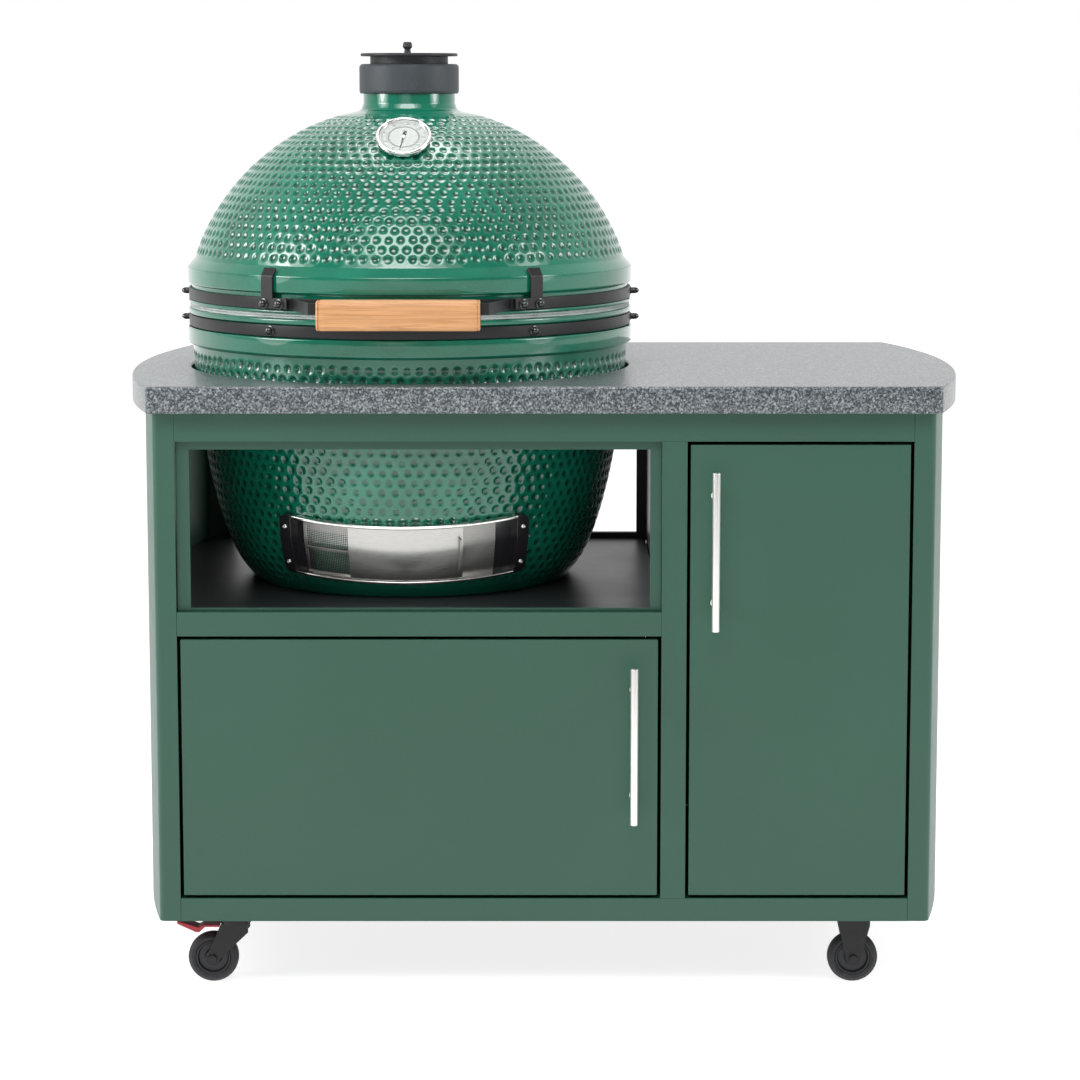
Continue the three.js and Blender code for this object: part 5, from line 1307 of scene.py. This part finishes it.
def wheel(prefix, body):
    low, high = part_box(prefix + "wheel")
    centre = (low + high) / 2
    radius = (high.z - low.z) / 2
    half = (high.y - low.y) / 2
    bore = 4.5 * MM
    turn = aim((0, -1, 0), centre)
    rim = radius - 12 * MM
    tyre = rounded(
        [(rim, -half + 2 * MM), (radius - 6 * MM, -half + 1 * MM), (radius, -half + 7 * MM), (radius, half - 7 * MM),
         (radius - 6 * MM, half - 1 * MM), (rim, half - 2 * MM), (rim, -half + 2 * MM)],
        3.2 * MM,
        5,
    )[:-1]
    obj = lathe(prefix + "tyre", tyre, 96, RUBBER, body, turn=turn, slot="tread")
    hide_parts(prefix + "wheel")
    hub = rounded(
        [(bore, -half), (11 * MM, -half), (13 * MM, -4 * MM), (rim - 4 * MM, -4 * MM), (rim - 2.5 * MM, -half + 2.5 * MM),
         (rim, -half + 2.5 * MM), (rim, half - 2.5 * MM), (rim - 2.5 * MM, half - 2.5 * MM), (rim - 4 * MM, 4 * MM),
         (13 * MM, 4 * MM), (11 * MM, half), (bore, half), (bore, -half)],
        1.0 * MM,
    )[:-1]
    lathe(prefix + "hub", hub, 64, BLACK_NYLON, body, turn=turn, slot="black_steel")


# ---------------------------------------------------------------- studio


def softbox(name, place, target, size, power):
    """A soft light that falls off from its middle: ovals of falling size in one place."""
    shares = (1.0, 0.75, 0.5)
    for layer, share in enumerate(shares):
        data = bpy.data.lights.new(f"{name}_{layer + 1}", "AREA")
        data.shape = "ELLIPSE"
        data.size, data.size_y = size[0] * share, size[1] * share
        data.energy = power / len(shares)
        obj = bpy.data.objects.new(data.name, data)
        bpy.context.scene.collection.objects.link(obj)
        towards = (Vector(target) - Vector(place)).normalized()
        obj.location = Vector(place) + towards * layer * MM
        obj.rotation_euler = towards.to_track_quat("-Z", "Y").to_euler()


def studio():
    f = Finish("studio_floor", Emission_Color=(1, 1, 1, 1), Emission_Strength=0.80)
    mottle = f.noise(2, 3)
    f.done(f.ramp(mottle, [(0.3, (0.50, 0.50, 0.50)), (0.7, (0.53, 0.53, 0.53))]), f.scale_to(mottle, 0.6, 0.7))
    half = 60
    mesh = bpy.data.meshes.new("floor")
    mesh.from_pydata([(-half, -half, 0), (half, -half, 0), (half, half, 0), (-half, half, 0)], [], [(0, 1, 2, 3)])
    floor = bpy.data.objects.new("floor", mesh)
    mesh.materials.append(f.material)
    bpy.context.scene.collection.objects.link(floor)

    world = bpy.data.worlds.new("studio")
    world.use_nodes = True
    nodes, links = world.node_tree.nodes, world.node_tree.links
    place = nodes.new("ShaderNodeTexCoord")
    split = nodes.new("ShaderNodeSeparateXYZ")
    links.new(place.outputs["Generated"], split.inputs["Vector"])
    shade = nodes.new("ShaderNodeValToRGB")
    shade.color_ramp.elements[0].position = 0.30
    shade.color_ramp.elements[0].color = (0.20, 0.20, 0.20, 1)
    shade.color_ramp.elements[1].position = 0.85
    shade.color_ramp.elements[1].color = (1.0, 1.0, 1.0, 1)
    spread = nodes.new("ShaderNodeMapRange")
    spread.inputs["From Min"].default_value = -1
    links.new(split.outputs["Y"], spread.inputs["Value"])
    links.new(spread.outputs["Result"], shade.inputs["Fac"])
    links.new(shade.outputs["Color"], nodes["Background"].inputs["Color"])
    nodes["Background"].inputs["Strength"].default_value = 1.0
    bpy.context.scene.world = world

    middle = (-0.1, 0, 0.9)
    dome = (AXIS.x, 0, DOME_LOW.z)
    softbox("key", (AXIS.x - 0.1, -2.2, 3.1), dome, (3.2, 2.0), 54)
    softbox("left", (-3.2, -1.2, 2.1), dome, (2.2, 2.8), 78)
    softbox("right", (3.2, -1.3, 2.1), middle, (2.0, 2.8), 50)
    softbox("top", (-0.2, 0.7, 3.9), middle, (2.8, 1.8), 38)
    softbox("front", (-0.9, -6.4, 1.7), (0, 0, 0.5), (4.2, 2.6), 10)
    bpy.context.scene.view_settings.view_transform = "Standard"


def camera():
    data = bpy.data.cameras.new("camera")
    data.sensor_width = 36
    data.lens = 99.15
    data.shift_y = -0.08
    obj = bpy.data.objects.new("camera", data)
    obj.location = (-0.0063, -4.7048, 1.3514)
    obj.rotation_euler = (math.radians(90 - 7.061), 0, 0)
    bpy.context.scene.collection.objects.link(obj)
    bpy.context.scene.camera = obj


# ---------------------------------------------------------------- assembly

ceramic_base()
ceramic_dome()
for gasket, owner in (("lower_gasket", "island"), ("upper_gasket", "dome")):
    felt_ring(gasket, owner)
for band, owner in (("lower_band", "island"), ("upper_band", "dome")):
    hoop(band, owner)
band_bolts()
clip_nuts()
grip()
thermometer()
vent_cap()
draft_door()
firebox()
hinge()
worktop()
cabinet()
door_handles()
castors()
studio()
camera()
